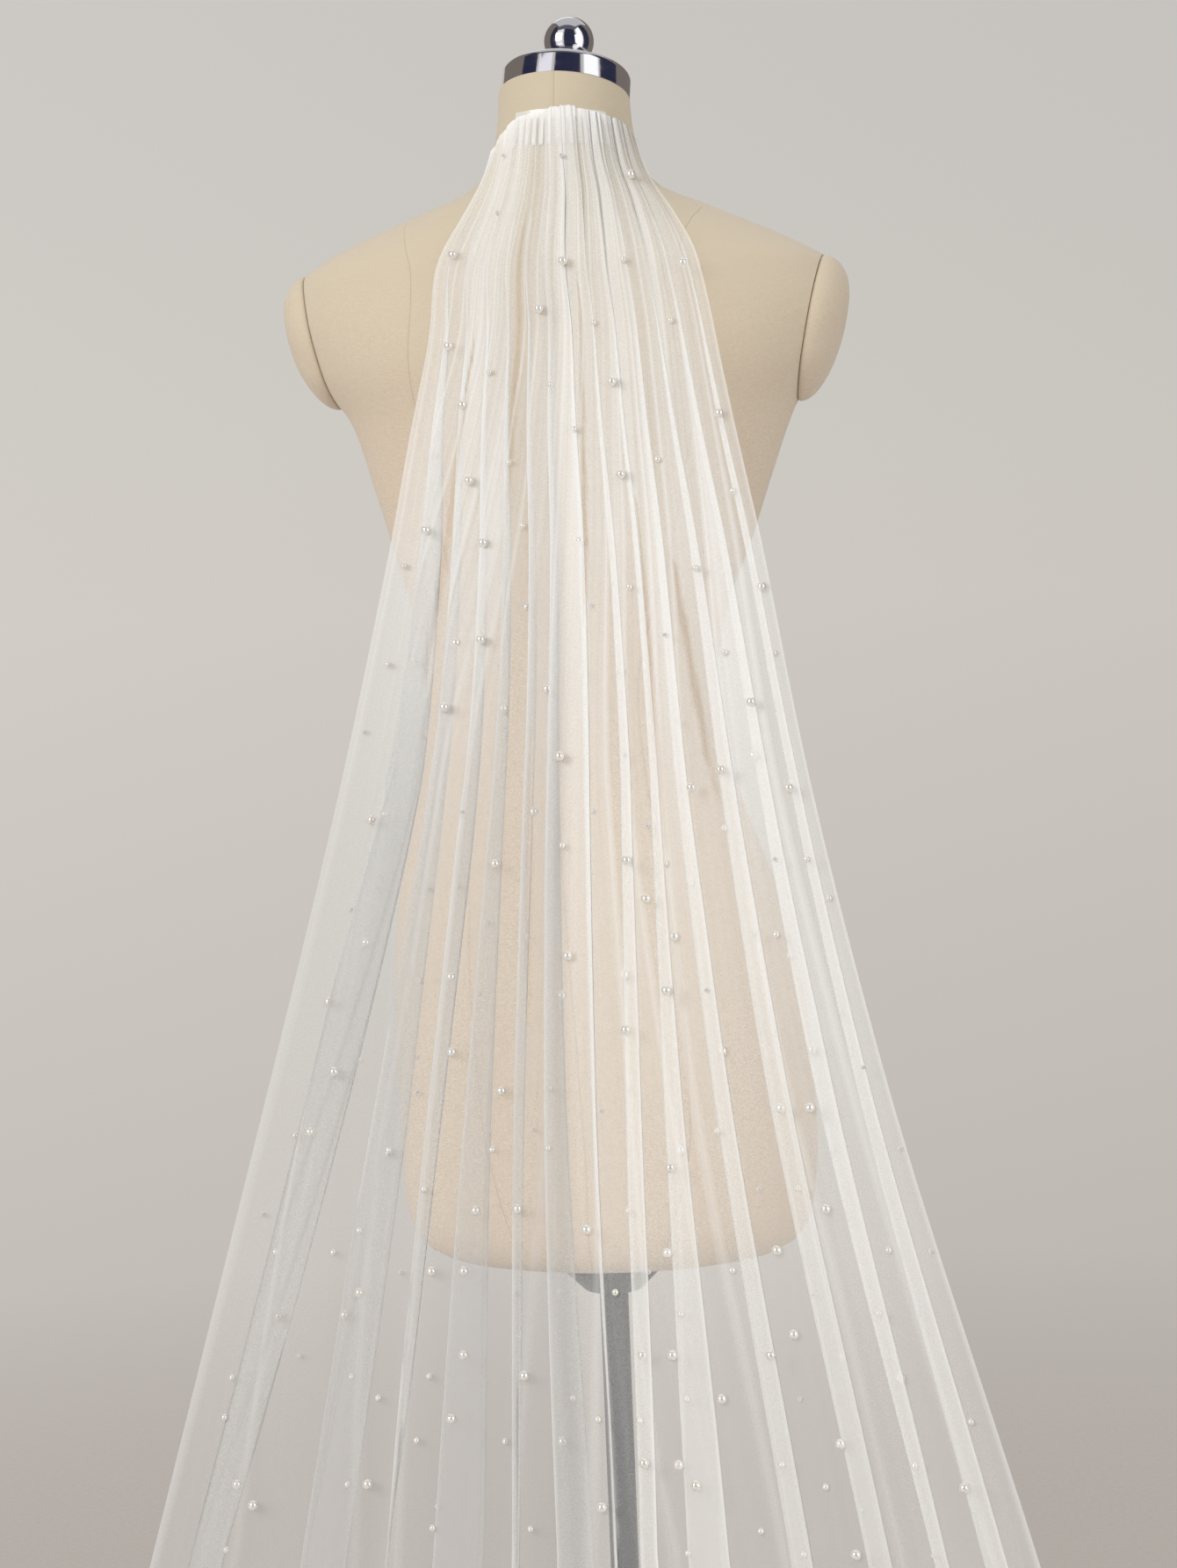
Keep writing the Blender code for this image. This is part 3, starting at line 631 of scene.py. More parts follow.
def fold_line(place, phase):
    """The cloth's line at a place: along the width, and out from the form."""
    share, rate, lap, lean = along_folds(fold_knots(place["z"]), phase)
    width = 2 * place["half"]
    pitch = rate * width / TURN
    turn = TURN * phase
    relative = lap / rate
    swing = np.minimum(*(start + rise * relative for start, rise in LAP_SWINGS))
    swing = np.minimum(swing, place["swing"])
    swing = np.minimum(swing, np.hypot(1, place["depth"] ** 2 * pitch / TIGHTEST))
    wave = np.sin(turn)
    settled = lean * wave
    resting = np.maximum(settled - TROUGH, 0) * 2 / (1 - TROUGH)
    out = place["depth"] * swing * pitch * (settled + (resting - settled) * place["rest"])
    out += place["gather"] * pitch * np.sin(2 * turn + 1)
    along = (share - 0.5) * width + swing * pitch * wave
    return along, out, share


def veil_places():
    """The veil's places, close together along its middle line, with the way it heads."""
    table = np.array([row[1:] for row in PLACES], float)
    hops = np.hypot(*np.diff(table[:, :2], axis=0).T)
    lengths = np.concatenate([[0], np.cumsum(hops)])
    crowd = np.linspace(0, 1, VEIL_ROWS)
    wanted = lengths[-1] * (0.72 * crowd + 0.28 * crowd**2)
    columns = {
        name: smooth_table(wanted, lengths, table[:, index])
        for index, name in enumerate(PLACE_COLUMNS)
    }
    run = np.gradient(columns["y"], wanted)
    fall = np.gradient(columns["z"], wanted)
    size = np.hypot(run, fall)
    floor = [row[0] for row in PLACES].index("floor")
    order = np.interp(wanted, lengths, np.arange(len(PLACES)))
    to_end = np.clip((order - floor) / (len(PLACES) - 1 - floor), 0, 1)
    places = []
    for row in range(VEIL_ROWS):
        place = {name: float(values[row]) for name, values in columns.items()}
        place["heading"] = (run[row] / size[row], fall[row] / size[row])
        place["to_end"] = float(to_end[row])
        place["down"] = float(wanted[row])
        places.append(place)
    return places


def add_waves(out, waves, place, phase):
    """Adds the fine waves high on the back to the cloth's line."""
    pitch = 2 * place["half"] / len(FOLDS) / TURN
    steady, swelling, swells = WAVE_SWELL
    strength = ease(between(place["z"], *WAVE_FADE))
    for times, start, drift, swell in waves:
        size = WAVE_SIZE / times * (steady + swelling * np.sin(TURN * phase * swells + swell))
        shift = start + WAVE_DRIFT * math.sin(3.0 * place["down"] + drift)
        out += strength * size * pitch * np.sin(times * TURN * phase + shift)


def sheet_points(place, along, out):
    """The cloth's line laid round its place, as points."""
    heading_y, heading_z = place["heading"]
    out_y, out_z = heading_z, -heading_y
    angle = (along + place["shift"]) / place["wrap"]
    reach = place["wrap"] + out
    lift = reach * np.cos(angle) - place["wrap"]
    edge = np.minimum(np.abs(along) / place["half"], 1.0)
    short = CORNER_CUT * place["to_end"] * edge**3
    y = place["y"] + lift * out_y
    z = np.maximum(place["z"] + lift * out_z, SHEET_LIFT)
    return np.stack([reach * np.sin(angle), y + (TRAIN_FROM_Y - y) * short, z], axis=-1)


def net_gathers(place, along, length, bands):
    """How many layers' worth of net each point stands for."""
    high = between(place["z"], *SLANT_FADE)
    layers = min(DENSEST, max(1.0, CUT_WIDTH / length[-1]) * mix(1.0, SLANT, high))
    lateral = along / (2 * place["half"]) + 0.5
    inset = np.clip(np.minimum(lateral, 1 - lateral) / MARGIN, 0, 1)
    sheer = MARGIN_SHEER * ease(between(place["z"], *MARGIN_FADE))
    thin = 1 - sheer * (1 - ease(inset))
    for at_top, at_foot, top_z, foot_z, half in PARTINGS:
        if not foot_z < place["z"] < top_z:
            continue
        reached = between(place["z"], top_z, foot_z)
        opened = half * math.sin(math.pi * reached) ** 0.5
        off = np.abs(lateral - mix(at_top, at_foot, reached)) / opened
        thin *= 1 - PARTING_SHEER / (1 + off**6)
    header = 1 + HEADER_MORE * math.exp(-((place["down"] / HEADER) ** 2))
    return layers * header * thin * mix(1.0, bands, ease(between(place["z"], *BAND_FADE)))


def fold_creases(place, along, length, phase, strength):
    """How near each point is to a line where the cloth turns on edge, or to its own edge."""
    crease = np.zeros(len(along))
    turns = np.nonzero(np.diff(np.sign(np.gradient(along))) != 0)[0]
    wide = mix(*CREASE_WIDTHS, between(place["z"], *WAVE_FADE))
    for index in turns:
        fold = min(int(2 * phase[index] + 0.5), len(strength) - 1)
        near = np.exp(-(((length - length[index]) / wide) ** 2))
        crease = np.maximum(crease, near * strength[fold])
    hem = np.exp(-((np.minimum(length, length[-1] - length) / HEM_WIDTH) ** 2))
    crease = np.maximum(crease, SIDE_CREASE * hem)
    if place["down"] < TOP_CREASE_LENGTH:
        crease = np.maximum(crease, END_CREASE)
    return crease


def ragged_top(points, uv):
    """The points with the cloth's uneven top edge."""
    down = uv[:, 0, 1]
    edge_table = np.array(TOP_EDGE)
    count = points.shape[1]
    frill = np.random.default_rng(VEIL_SEED + 1).uniform(-FRILL, FRILL, count)
    frill = np.convolve(frill, np.ones(9) / 3.0, mode="same")
    drop = smooth_table(uv[0, :, 0], edge_table[:, 0], edge_table[:, 1]) + np.maximum(frill, 0)
    moved = points.copy()
    near = np.nonzero(down < EDGE_REACH)[0]
    for column in range(count):
        wanted = down[near] + drop[column] * (1 - down[near] / EDGE_REACH)
        for axis in range(3):
            moved[near, column, axis] = np.interp(wanted, down, points[:, column, axis])
    return moved


def veil_grid():
    """Points, uv, gathers and crease of the veil, as arrays of rows and columns."""
    halves = 2 * len(FOLDS)
    count = len(FOLDS) * COLUMNS_PER_FOLD + 1
    even = np.arange(count) / COLUMNS_PER_FOLD
    phase = even + CLUSTER * np.sin(2 * TURN * even) / (2 * TURN)
    draw = np.random.default_rng(VEIL_SEED)
    strength = draw.uniform(*CREASE_STRENGTH, halves + 2)
    waves = np.column_stack([draw.uniform(*WAVE_TIMES, WAVES), draw.uniform(0, TURN, (WAVES, 3))])
    bands = np.interp(even, np.arange(halves + 1) / 2, draw.uniform(*BAND_DENSITY, halves + 1))
    rows = []
    for place in veil_places():
        along, out, share = fold_line(place, phase)
        out *= mix(1.0, FLATTEN, between(place["z"], *FLATTEN_FADE))
        add_waves(out, waves, place, phase)
        length = np.concatenate([[0], np.cumsum(np.hypot(np.diff(along), np.diff(out)))])
        points = sheet_points(place, along, out)
        uv = np.stack([share, np.full(count, place["down"])], axis=-1)
        gathers = net_gathers(place, along, length, bands)
        crease = fold_creases(place, along, length, phase, strength)
        rows.append((points, uv, gathers, crease))
    points, uv, gathers, crease = map(np.array, zip(*rows))
    crease[-1] = END_CREASE
    return ragged_top(points, uv), uv, gathers, crease


def set_attribute(mesh, name, values):
    made = mesh.attributes.new(name, "FLOAT", "POINT")
    made.data.foreach_set("value", np.asarray(values, np.float32).ravel())


def veil(grid, tulle):
    points, uv, gathers, crease = grid
    rows, columns = points.shape[:2]
    index = np.arange(rows * columns).reshape(rows, columns)
    corners = [index[:-1, :-1], index[1:, :-1], index[1:, 1:], index[:-1, 1:]]
    faces = np.stack(corners, axis=-1).reshape(-1, 4)
    obj = mesh_piece("veil_cloth", points.reshape(-1, 3), faces.tolist(), tulle, 180)
    mesh = obj.data
    set_attribute(mesh, "gathers", gathers)
    set_attribute(mesh, "crease", crease)
    layer = mesh.uv_layers.new(name="cloth")
    corners = np.empty(len(mesh.loops), np.int32)
    mesh.loops.foreach_get("vertex_index", corners)
    layer.data.foreach_set("uv", uv.reshape(-1, 2)[corners].astype(np.float32).ravel())
    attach(obj, "root")
    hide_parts("veil_head", "veil_fall", "veil_train")
    obj.visible_shadow = False  # real net scatters light on, so its folds hardly shade
    return obj


def ball_shape(segments, levels):
    """Unit ball's points and faces."""
    points = [(0, 0, -1)]
    for level in range(1, levels):
        angle = math.pi * level / levels
        points += ring_points(math.sin(angle), -math.cos(angle), segments)
    points.append((0, 0, 1))
    last = len(points) - 1
    return points, ring_faces([[0], *ring_numbers(levels - 1, segments, 1), [last]])


def pearls(grid, finishes):
    """Pearls and crystals sewn on the cloth's outer face, scattered over the flat cloth."""
    points = grid[0]
    rows, columns = points.shape[:2]
    hops = np.linalg.norm(np.diff(points, axis=1), axis=2)
    across = np.concatenate([np.zeros((rows, 1)), np.cumsum(hops, axis=1)], axis=1)
    down = grid[1][:, 0, 1]
    cross_down = points[2:, 1:-1] - points[:-2, 1:-1]
    cross_over = points[1:-1, 2:] - points[1:-1, :-2]
    normals = np.cross(cross_over, cross_down)
    normals /= np.linalg.norm(normals, axis=2, keepdims=True)
    draw = random.Random(PEARL_SEED)
    free_top, free_end, free_side = PEARL_FREE
    placed = []
    sites = {row[0]: [] for row in PEARLS}
    widest = across[:, -1].max()
    for _ in range(PEARL_TRIES):
        length = draw.uniform(free_top, down[-1] - free_end)
        side = draw.uniform(-widest / 2, widest / 2)
        kind = draw.random()
        row = min(max(int(np.searchsorted(down, length)), 1), rows - 2)
        width = across[row, -1]
        if abs(side) > width / 2 - free_side:
            continue
        if any((side - a) ** 2 + (length - b) ** 2 < PEARL_SPACING**2 for a, b in placed):
            continue
        placed.append((side, length))
        column = int(np.searchsorted(across[row], side + width / 2))
        column = min(max(column, 1), columns - 2)
        name = next(pearl[0] for pearl in PEARLS if kind < pearl[-1])
        sites[name].append((Vector(points[row, column]), Vector(normals[row - 1, column - 1])))
    made = []
    for name, slot, radius, segments, levels, _ in PEARLS:
        ball_points, ball_faces = ball_shape(segments, levels)
        all_points, all_faces = [], []
        for point, normal in sites[name]:
            level = abs(normal.z) >= 0.8
            if (normal.z < 0) if level else (normal.y > 0):
                normal = -normal
            centre = point + normal * radius * 0.9
            centre.z = max(centre.z, radius + SHEET_LIFT)
            start = len(all_points)
            all_points.extend(centre + Vector(p) * radius for p in ball_points)
            all_faces.extend(tuple(start + i for i in face) for face in ball_faces)
        sharp = 20 if slot == "crystal" else 180
        obj = mesh_piece(name, all_points, all_faces, finishes[slot], sharp)
        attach(obj, "root")
        made.append(obj)
    return made


# Dress form


def ring_values(height):
    """Half width, depth in front and behind, sideways shift and tilt of the torso there."""
    table = np.array(TORSO_RINGS)
    return [smooth_table(height, table[:, 0], column) for column in table[:, 1:].T]


def torso_surface(height, angle):
    """Point of the torso at a height and an angle, which runs from +X round by the front."""
    half, front, back, shift, tilt = ring_values(height)
    x = half * np.cos(angle)
    y = np.where(np.sin(angle) > 0, front, back) * np.sin(angle)
    peak = ((np.abs(x) - BUST_SPREAD) ** 2 + (height - BUST_HEIGHT) ** 2) / BUST_SIZE**2
    y = np.where(y > 0, y + BUST_RISE * np.exp(-peak) * np.sin(angle), y)
    neck = between(height, TORSO_RINGS[-3][0], NECK_TOP)
    y = y + NECK_SHIFT * neck
    z = height - y * np.tan(np.radians(tilt)) - x * math.tan(NECK_LEAN) * neck
    return np.stack([x + shift, y, z], axis=-1)


def seam_angles(height):
    """Angles of the eight seams at a height, rising from the side seam at +X, and how clear the
    princess seams are there."""
    seam = np.array(PRINCESS_SEAM)
    half = float(ring_values(height)[0])
    x = float(smooth_table(height, seam[:, 0], seam[:, 1]))
    clear = 1 - between(height, *PRINCESS_FADE)
    swing = math.asin(min(x / half, 0.93))
    lines = [(TURN * quarter / 4, 1.0) for quarter in range(4)]
    for quarter in (1, 3):
        lines += [(TURN * quarter / 4 + way * swing, clear) for way in (-1, 1)]
    return sorted(lines)


def torso_cover(linen):
    """The torso's cover, with a column on each seam and fine grooves there."""
    heights = []
    for low, high in zip(TORSO_RINGS, TORSO_RINGS[1:]):
        steps = max(2, round((high[0] - low[0]) / TORSO_ROW))
        heights.extend(mix(low[0], high[0], step / steps) for step in range(steps))
    heights.append(TORSO_RINGS[-1][0])
    rows, seams = [], []
    for height in heights:
        lines = seam_angles(height)
        around = float(ring_values(height)[0])
        columns = []
        for (angle, clear), (after, _) in zip(lines, lines[1:] + [(TURN, 1.0)]):
            room = (after - angle) * around / 2.2
            shrink = min(1.0, room / abs(SEAM_OFFSETS[0]))
            for offset, depth in zip(SEAM_OFFSETS, SEAM_DEPTHS):
                mark = clear * SEAM_MARK if offset == 0 else 0.0
                columns.append((angle + shrink * offset / around, depth * clear, mark))
            start = angle + shrink * SEAM_OFFSETS[-1] / around
            stop = after + shrink * SEAM_OFFSETS[0] / around
            for step in range(1, PANEL_COLUMNS):
                columns.append((mix(start, stop, step / PANEL_COLUMNS), 0.0, 0.0))
        angles, depths, marks = np.array(columns).T
        at = torso_surface(height, angles)
        inward = np.stack([np.cos(angles), np.sin(angles), np.zeros(len(angles))], axis=-1)
        rows.append(at + inward * depths[:, None])
        seams.append(marks)
    points = np.array(rows)
    count = points.shape[1]
    rings = ring_numbers(len(heights), count)
    faces = [*ring_faces(rings), tuple(reversed(rings[0])), tuple(rings[-1])]
    body = mesh_piece("torso_rough", points.reshape(-1, 3), faces, linen, 60)
    set_attribute(body.data, "seam", np.array(seams))
    cutters = []
    for side in (-1, 1):
        cut = body.modifiers.new("armhole", "BOOLEAN")
        cut.operation = "DIFFERENCE"
        cut.object = armhole_cutter(side, linen)
        cutters.append(cut.object)
    graph = bpy.context.evaluated_depsgraph_get()
    mesh = bpy.data.meshes.new_from_object(body.evaluated_get(graph))
    obj = new_object("torso_cover", mesh)
    mesh.shade_smooth()
    mesh.set_sharp_from_angle(angle=math.radians(45))
    for helper in [body, *cutters]:
        bpy.data.objects.remove(helper, do_unlink=True)
    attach(obj, "root")
    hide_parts("form_torso")
    return obj


def armhole_frame(side):
    run, rise = math.cos(ARMHOLE_LEAN), math.sin(ARMHOLE_LEAN)
    outward, upward = Vector((side * run, 0, -rise)), Vector((side * rise, 0, run))
    along = upward.cross(outward)
    frame = Matrix((along, upward, outward)).transposed().to_4x4()
    frame.translation = Vector((ARMHOLE_SHIFT + side * ARMHOLE_X, ARMHOLE_Y, ARMHOLE_HEIGHT))
    return frame


def armhole_cutter(side, finish):
    half = ARMHOLE_CUT
    corners = [(x, y, z) for z in (0, 2 * half) for y in (-half, half) for x in (-half, half)]
    sides = [(0, 2, 3, 1), (4, 5, 7, 6), (0, 1, 5, 4), (2, 6, 7, 3), (0, 4, 6, 2), (1, 3, 7, 5)]
    obj = mesh_piece("armhole_cutter", corners, sides, finish, 30)
    obj.matrix_world = armhole_frame(side)
    bpy.context.view_layer.update()
    return obj


def armhole_reach(frame, direction):
    near, far = 0.0, ARMHOLE_SEARCH
    for _ in range(18):
        middle = (near + far) / 2
        point = frame @ (direction * middle)
        half, front, back, shift, _ = ring_values(point.z)
        depth = front if point.y > 0 else back
        inside = ((point.x - shift) / half) ** 2 + (point.y / depth) ** 2 < 1
        near, far = (middle, far) if inside else (near, middle)
    return near


def arm_cap(name, node, side, linen):
    """A dome over an armhole with a soft rounded rim, whose seam shows as a fine dark gap."""
    steps, levels = ARM_CAP_STEPS
    frame = armhole_frame(side)
    outline = []
    for step in range(steps):
        turn = TURN * step / steps
        direction = Vector((math.cos(turn), math.sin(turn), 0))
        outline.append(direction * armhole_reach(frame, direction))
    points = [frame @ (edge * 0.97 + Vector((0, 0, GAP))) for edge in outline]
    marks = [1.0] * steps
    for level in range(levels):
        angle = 0.5 * math.pi * level / levels
        rise = GAP + ARM_CAP_BULGE * math.sin(angle)
        rim = ARM_CAP_EDGE * math.exp(-math.sin(angle) * ARM_CAP_BULGE / ARM_CAP_EDGE)
        for step, edge in enumerate(outline):
            power = mix(*ARM_CAP_FULLNESS, 0.5 + 0.5 * math.sin(TURN * step / steps))
            inset = edge * (1 - rim / edge.length) * math.cos(angle) ** power
            points.append(frame @ Vector((inset.x, inset.y, rise)))
        marks.extend([0.8 * math.exp(-level * 2.0)] * steps)
    tip = len(points)
    points.append(frame @ Vector((0, 0, GAP + ARM_CAP_BULGE)))
    marks.append(0.0)
    rings = ring_numbers(levels + 1, steps)
    faces = [tuple(reversed(rings[0])), *ring_faces([*rings, [tip]])]
    obj = mesh_piece(name, points, faces, linen, 70)
    set_attribute(obj.data, "seam", marks)
    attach(obj, "root")
    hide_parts(node)
    return obj


# Turned pieces


def turned(name, node, profile, finish, frame=None, sides=128, sharp=30):
    points, rings = [], []
    for radius, height in profile:
        if radius == 0:
            rings.append([len(points)])
            points.append((0, 0, height))
            continue
        rings.append(range(len(points), len(points) + sides))
        points += ring_points(radius, height, sides)
    if frame is not None:
        points = [frame @ Vector(point) for point in points]
    obj = mesh_piece(name, points, ring_faces(rings), finish, sharp)
    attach(obj, "root")
    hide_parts(node)
    return obj


def rounded(points, radius, steps=5):
    """The profile with each inner corner rounded to about a radius."""
    made = [points[0]]
    for before, here, after in zip(points, points[1:], points[2:]):
        back = Vector(before) - Vector(here)
        on = Vector(after) - Vector(here)
        reach = min(radius, 0.45 * back.length, 0.45 * on.length)
        start = Vector(here) + back.normalized() * reach
        stop = Vector(here) + on.normalized() * reach
        for step in range(steps + 1):
            t = step / steps
            point = start * (1 - t) ** 2 + Vector(here) * 2 * t * (1 - t) + stop * t**2
            made.append((point.x, point.y))
    made.append(points[-1])
    return made


def neck_frame():
    normal = Vector((math.tan(NECK_LEAN), math.tan(NECK_TILT), 1))
    frame = normal.to_track_quat("Z", "Y").to_matrix().to_4x4()
    middle_y = 2 * NECK_SHIFT
    middle_z = NECK_TOP - middle_y * math.tan(NECK_TILT)
    frame.translation = Vector((TORSO_RINGS[-1][4], middle_y, middle_z))
    return frame


def cap_and_finial(chrome):
    frame = neck_frame()
    top = GAP + CAP_HEIGHT
    crown = top + CAP_CROWN
    profile = [(0, GAP), (CAP_RADIUS - CAP_LIP, GAP), (CAP_RADIUS, GAP + CAP_LIP)]
    for step in range(9):
        angle = 0.5 * math.pi * step / 8
        inward, down = CAP_EDGE * (1 - math.cos(angle)), CAP_EDGE * (1 - math.sin(angle))
        profile.append((CAP_RADIUS - inward, top - down))
    profile += [(CAP_RADIUS / 2, top + 0.75 * CAP_CROWN), (FINIAL_STEM_RADIUS, crown), (0, crown)]
    turned("cap_shell", "neck_cap", profile, chrome, frame)
    centre = crown + GAP + FINIAL_STEM + math.sqrt(BALL_RADIUS**2 - FINIAL_STEM_RADIUS**2)
    flare, rise = FINIAL_FOOT
    profile = [(0, crown + GAP), (FINIAL_STEM_RADIUS + flare, crown + GAP)]
    profile += [(FINIAL_STEM_RADIUS, crown + GAP + rise)]
    first = -math.acos(FINIAL_STEM_RADIUS / BALL_RADIUS)
    arcs = 36
    for step in range(arcs):
        angle = mix(first, 0.5 * math.pi, step / arcs)
        profile.append((BALL_RADIUS * math.cos(angle), centre + BALL_RADIUS * math.sin(angle)))
    profile.append((0, centre + BALL_RADIUS))
    turned("finial_ball", "cap_finial", profile, chrome, frame, 96)


def stand(dark):
    low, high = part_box("stand_base")
    radius, top = high.x, high.z
    pole_low, pole_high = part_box("pole")
    pole = pole_high.x
    plate, socket = BASE_PLATE, SOCKET_RADIUS
    profile = [(0, low.z), (radius - 0.002, low.z), (radius, low.z + 0.004)]
    profile += [(radius, plate - 0.004), (radius - 0.004, plate)]
    profile += [(socket + 0.006, plate + 0.004), (socket, plate + 0.010)]
    profile += [(socket, top - 0.002), (socket - 0.002, top), (pole + GAP, top)]
    profile += [(pole + GAP, pole_low.z), (0, pole_low.z - GAP)]
    turned("base_plate", "stand_base", rounded(profile, 0.003), dark)
    profile = [(0, pole_low.z), (pole, pole_low.z), (pole, pole_high.z), (0, pole_high.z)]
    turned("pole_tube", "pole", rounded(profile, 0.001), dark, sides=64)
    hub_low, hub_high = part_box("hub_plate")
    hub = hub_high.x
    middle = (hub_low.z + hub_high.z) / 2
    profile = [(0, pole_high.z + GAP), (pole + GAP, pole_high.z + GAP)]
    profile += [(pole + GAP, hub_low.z), (socket, hub_low.z), (hub - 0.004, middle)]
    profile += [(hub, middle + 0.004), (hub, hub_high.z), (0, hub_high.z)]
    turned("hub_disc", "hub_plate", rounded(profile, 0.002), dark)


# Stage


def srgb(*values):
    """Linear colour of an 8-bit screen colour."""
    made = []
    for value in values:
        share = value / 255
        made.append(share / 12.92 if share <= 0.04045 else ((share + 0.055) / 1.055) ** 2.4)
    return tuple(made)


def camera():
    data = bpy.data.cameras.new("camera")
    data.sensor_width = SENSOR
    data.lens = SENSOR * FOCAL_PIXELS / PHOTO_HEIGHT
    data.clip_end = 60
    obj = new_object("camera", data)
    bpy.context.scene.camera = obj
    away = Vector((math.sin(CAMERA_AZIMUTH), -math.cos(CAMERA_AZIMUTH), 0))
    yaw = math.atan(AXIS_PIXELS_RIGHT / FOCAL_PIXELS)
    level = Matrix.Rotation(yaw, 3, "Z") @ -away
    right = level.cross(Vector((0, 0, 1)))
    forward = level * math.cos(CAMERA_PITCH) - Vector((0, 0, 1)) * math.sin(CAMERA_PITCH)
    up = right.cross(forward)
    turned_right = right * math.cos(CAMERA_ROLL) - up * math.sin(CAMERA_ROLL)
    turned_up = right * math.sin(CAMERA_ROLL) + up * math.cos(CAMERA_ROLL)
    matrix = Matrix((turned_right, turned_up, -forward)).transposed().to_4x4()
    matrix.translation = away * CAMERA_DISTANCE + Vector((0, 0, CAMERA_HEIGHT))
    obj.matrix_world = matrix


def world():
    made = bpy.data.worlds.new("studio")
    bpy.context.scene.world = made
    made.use_nodes = True
    tree = made.node_tree
    background = tree.nodes["Background"]
    where = tree.nodes.new("ShaderNodeTexCoord")
    split = tree.nodes.new("ShaderNodeSeparateXYZ")
    ramp = tree.nodes.new("ShaderNodeValToRGB")
    tree.links.new(where.outputs["Generated"], split.inputs[0])
    height = map_range(tree, split.outputs["Z"], -0.34, 0.14, 0, 1)
    tree.links.new(height, ramp.inputs["Fac"])
    ramp.color_ramp.elements[0].color = (*srgb(184, 177, 172), 1)
    ramp.color_ramp.elements[1].color = (*srgb(199, 196, 192), 1)
    middle = ramp.color_ramp.elements.new(0.62)
    middle.color = (*srgb(204, 200, 193), 1)
    tree.links.new(ramp.outputs["Color"], background.inputs["Color"])
    strength = map_range(tree, split.outputs["X"], -0.32, 0.04, 1.06, 0.985)
    tree.links.new(strength, background.inputs["Strength"])


# name, place, aim, size, power, colour, whether glossy things show it
LIGHTS = (
    ("key", (-2.6, -3.2, 3.0), (0, -0.2, 1.1), (2.2, 2.2), 66, (1.0, 0.985, 0.96), True),
    ("fill", (3.0, -2.2, 2.0), (0, -0.2, 1.0), (2.0, 2.4), 20, (0.96, 0.98, 1.0), True),
    ("front", (0.7, -4.4, 2.1), (0, -0.2, 1.1), (2.2, 2.2), 14, (1.0, 1.0, 0.99), False),
    ("top", (0.0, 0.6, 3.6), (0, -0.3, 1.0), (2.6, 2.6), 9, (1.0, 1.0, 1.0), True),
)


def lights():
    for name, place, aim, size, power, colour, glossy in LIGHTS:
        data = bpy.data.lights.new(name, "AREA")
        data.shape = "RECTANGLE"
        data.size, data.size_y = size
        data.energy = power
        data.color = colour
        obj = new_object(name, data)
        obj.location = place
        turned_to = (Vector(aim) - Vector(place)).to_track_quat("-Z", "Y")
        obj.rotation_euler = turned_to.to_euler()
        obj.visible_camera = False
        obj.visible_glossy = glossy


# Cards that the chrome mirrors: name, azimuth from the camera's, width, colour, strength
DARK_CARD = (44, 46, 68)
EDGE_CARD = (120, 112, 106)
CARDS = (
    ("card_middle", 6, 4.9, DARK_CARD, 1.0),
    ("card_left", -43, 2.4, (235, 232, 240), 1.1),
    ("card_right", 55, 2.3, (250, 250, 250), 1.25),
    ("card_far_left", -78, 2.6, DARK_CARD, 1.0),
    ("card_far_right", 90, 2.9, DARK_CARD, 1.0),
    ("card_side_left", -121, 5.3, EDGE_CARD, 1.0),
    ("card_side_right", 138, 5.5, EDGE_CARD, 1.0),
)
CARD_DISTANCE = 4.6
CARD_TOP = 11.5
CARD_BOTTOM = -0.5
ROOF_CARD = (2.6, 5.2)  # half its side, height


def glow_card(name, corners, colour, strength):
    """A card that only glossy things see."""
    finish = bpy.data.materials.new(name)
    finish.use_nodes = True
    tree = finish.node_tree
    tree.nodes.remove(tree.nodes["Principled BSDF"])
    glow = tree.nodes.new("ShaderNodeEmission")
    glow.inputs["Color"].default_value = (*srgb(*colour), 1)
    glow.inputs["Strength"].default_value = strength
    tree.links.new(glow.outputs[0], tree.nodes["Material Output"].inputs["Surface"])
    obj = mesh_piece(name, corners, [(0, 1, 2, 3)], finish)
    for rays in ("camera", "diffuse", "shadow", "transmission"):
        setattr(obj, "visible_" + rays, False)


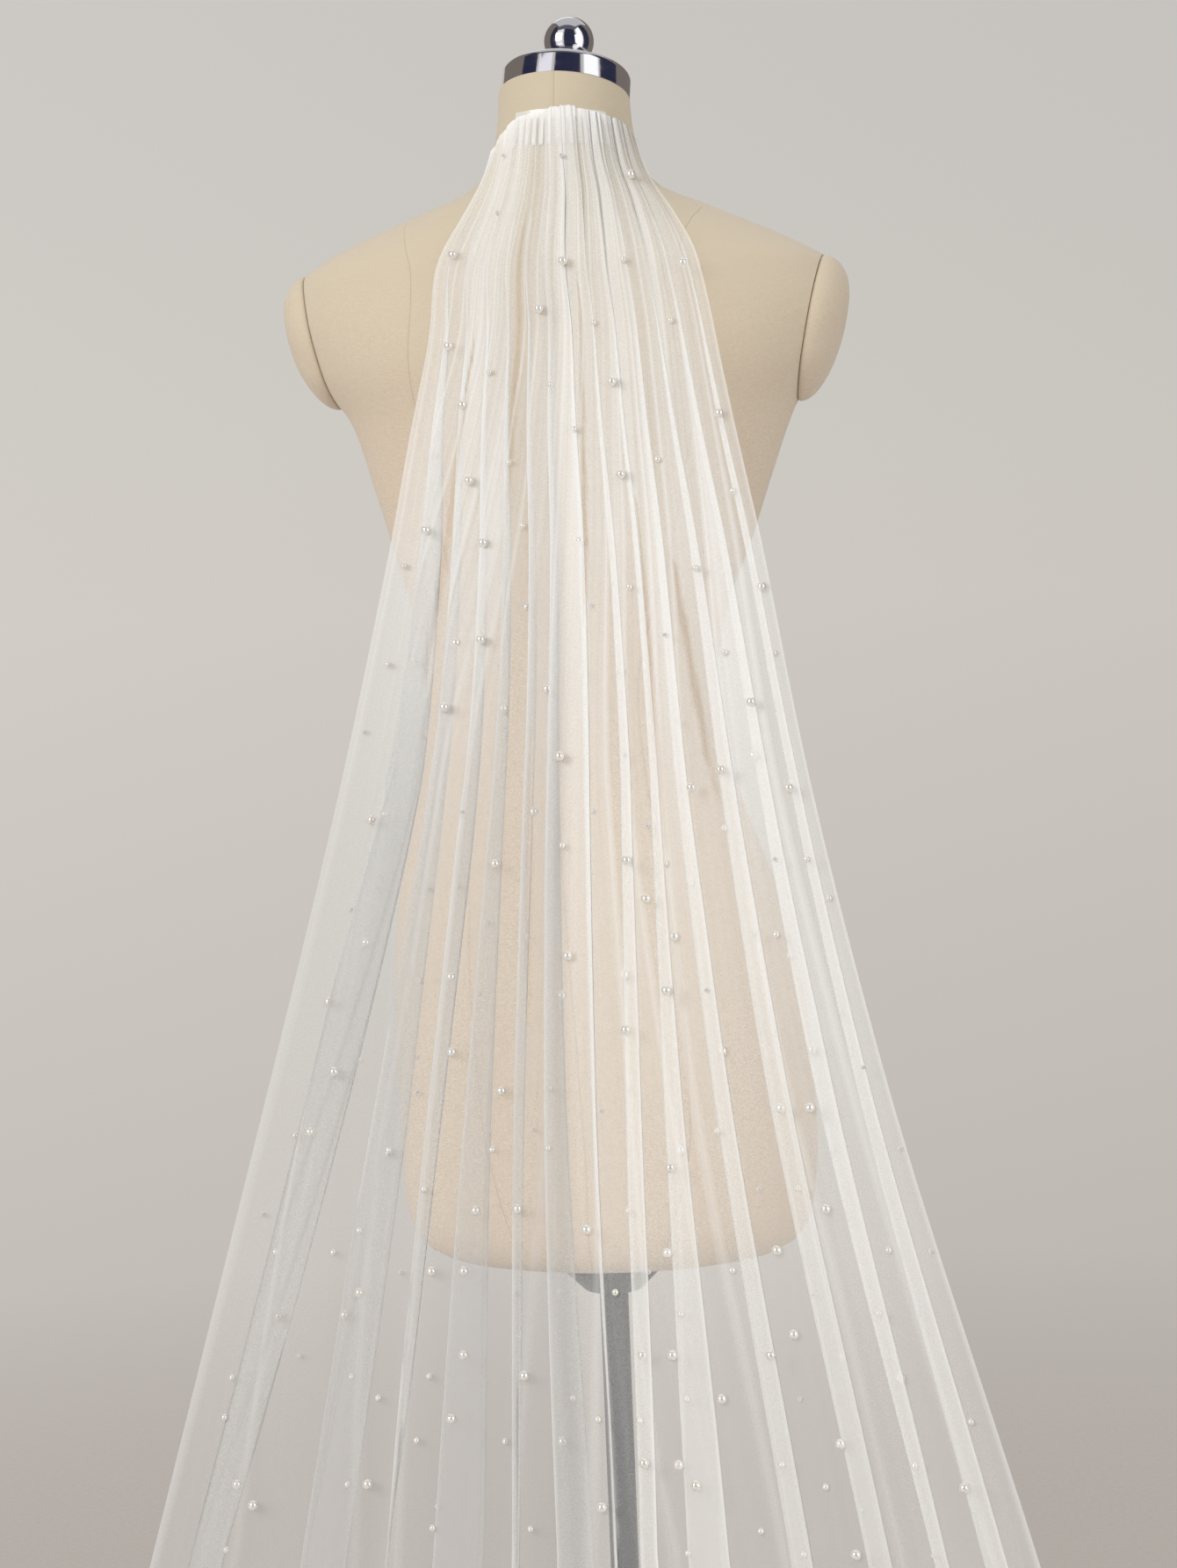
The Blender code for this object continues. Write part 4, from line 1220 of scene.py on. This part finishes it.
def cards():
    """Upright cards round the form, and one over it."""
    for name, azimuth, width, colour, strength in CARDS:
        turn = CAMERA_AZIMUTH + math.radians(azimuth)
        centre = Vector((math.sin(turn), -math.cos(turn), 0)) * CARD_DISTANCE
        across = Vector((math.cos(turn), math.sin(turn), 0)) * width / 2
        low, high = Vector((0, 0, CARD_BOTTOM)), Vector((0, 0, CARD_TOP))
        left, right = centre - across, centre + across
        glow_card(name, [left + low, right + low, right + high, left + high], colour, strength)
    reach, height = ROOF_CARD
    sides = ((-reach, -reach), (-reach, reach), (reach, reach), (reach, -reach))
    glow_card("card_top", [(*side, height) for side in sides], (96, 94, 100), 1.0)


FLOOR_FADE = (1.5, 3.6)  # how far off the floor's paper fades into the studio


def floor():
    made = Nodes("floor_paper", 0.9)
    place = made.place()
    tone = made.mottle(made.noise(place, 140.0), srgb(196, 190, 185), srgb(202, 196, 191))
    made.feed("Base Color", tone)
    far = made.vector("LENGTH", place).outputs["Value"]
    made.feed("Alpha", made.remap(far, *FLOOR_FADE, 1.0, 0.0))
    radius, steps, rings = 4.0, 96, 8
    points = [(0, 0, 0)]
    for ring in range(1, rings + 1):
        points += ring_points(radius * ring / rings, 0, steps)
    faces = ring_faces([*reversed(ring_numbers(rings, steps, 1)), [0]])
    obj = mesh_piece("studio_floor", points, faces, made.material)
    obj.location = (0, -0.45, -0.0005)


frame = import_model()
camera()
world()
lights()
cards()
floor()
linen = linen_material()
chrome = chrome_material()
dark = dark_material()
tulle = tulle_material()
torso_cover(linen)
arm_cap("arm_cover_left", "arm_cap_left", -1, linen)
arm_cap("arm_cover_right", "arm_cap_right", 1, linen)
cap_and_finial(chrome)
stand(dark)
comb_node = frame["nodes"]["veil_comb"]
comb_finish = comb_material()
for material_slot in comb_node.material_slots:
    material_slot.material = comb_finish
grid = veil_grid()
cloth = veil(grid, tulle)
beads = pearls(grid, {"pearl": pearl_material(), "crystal": crystal_material()})
bpy.context.scene.view_settings.view_transform = "Standard"
bpy.context.scene.cycles.transparent_max_bounces = 64
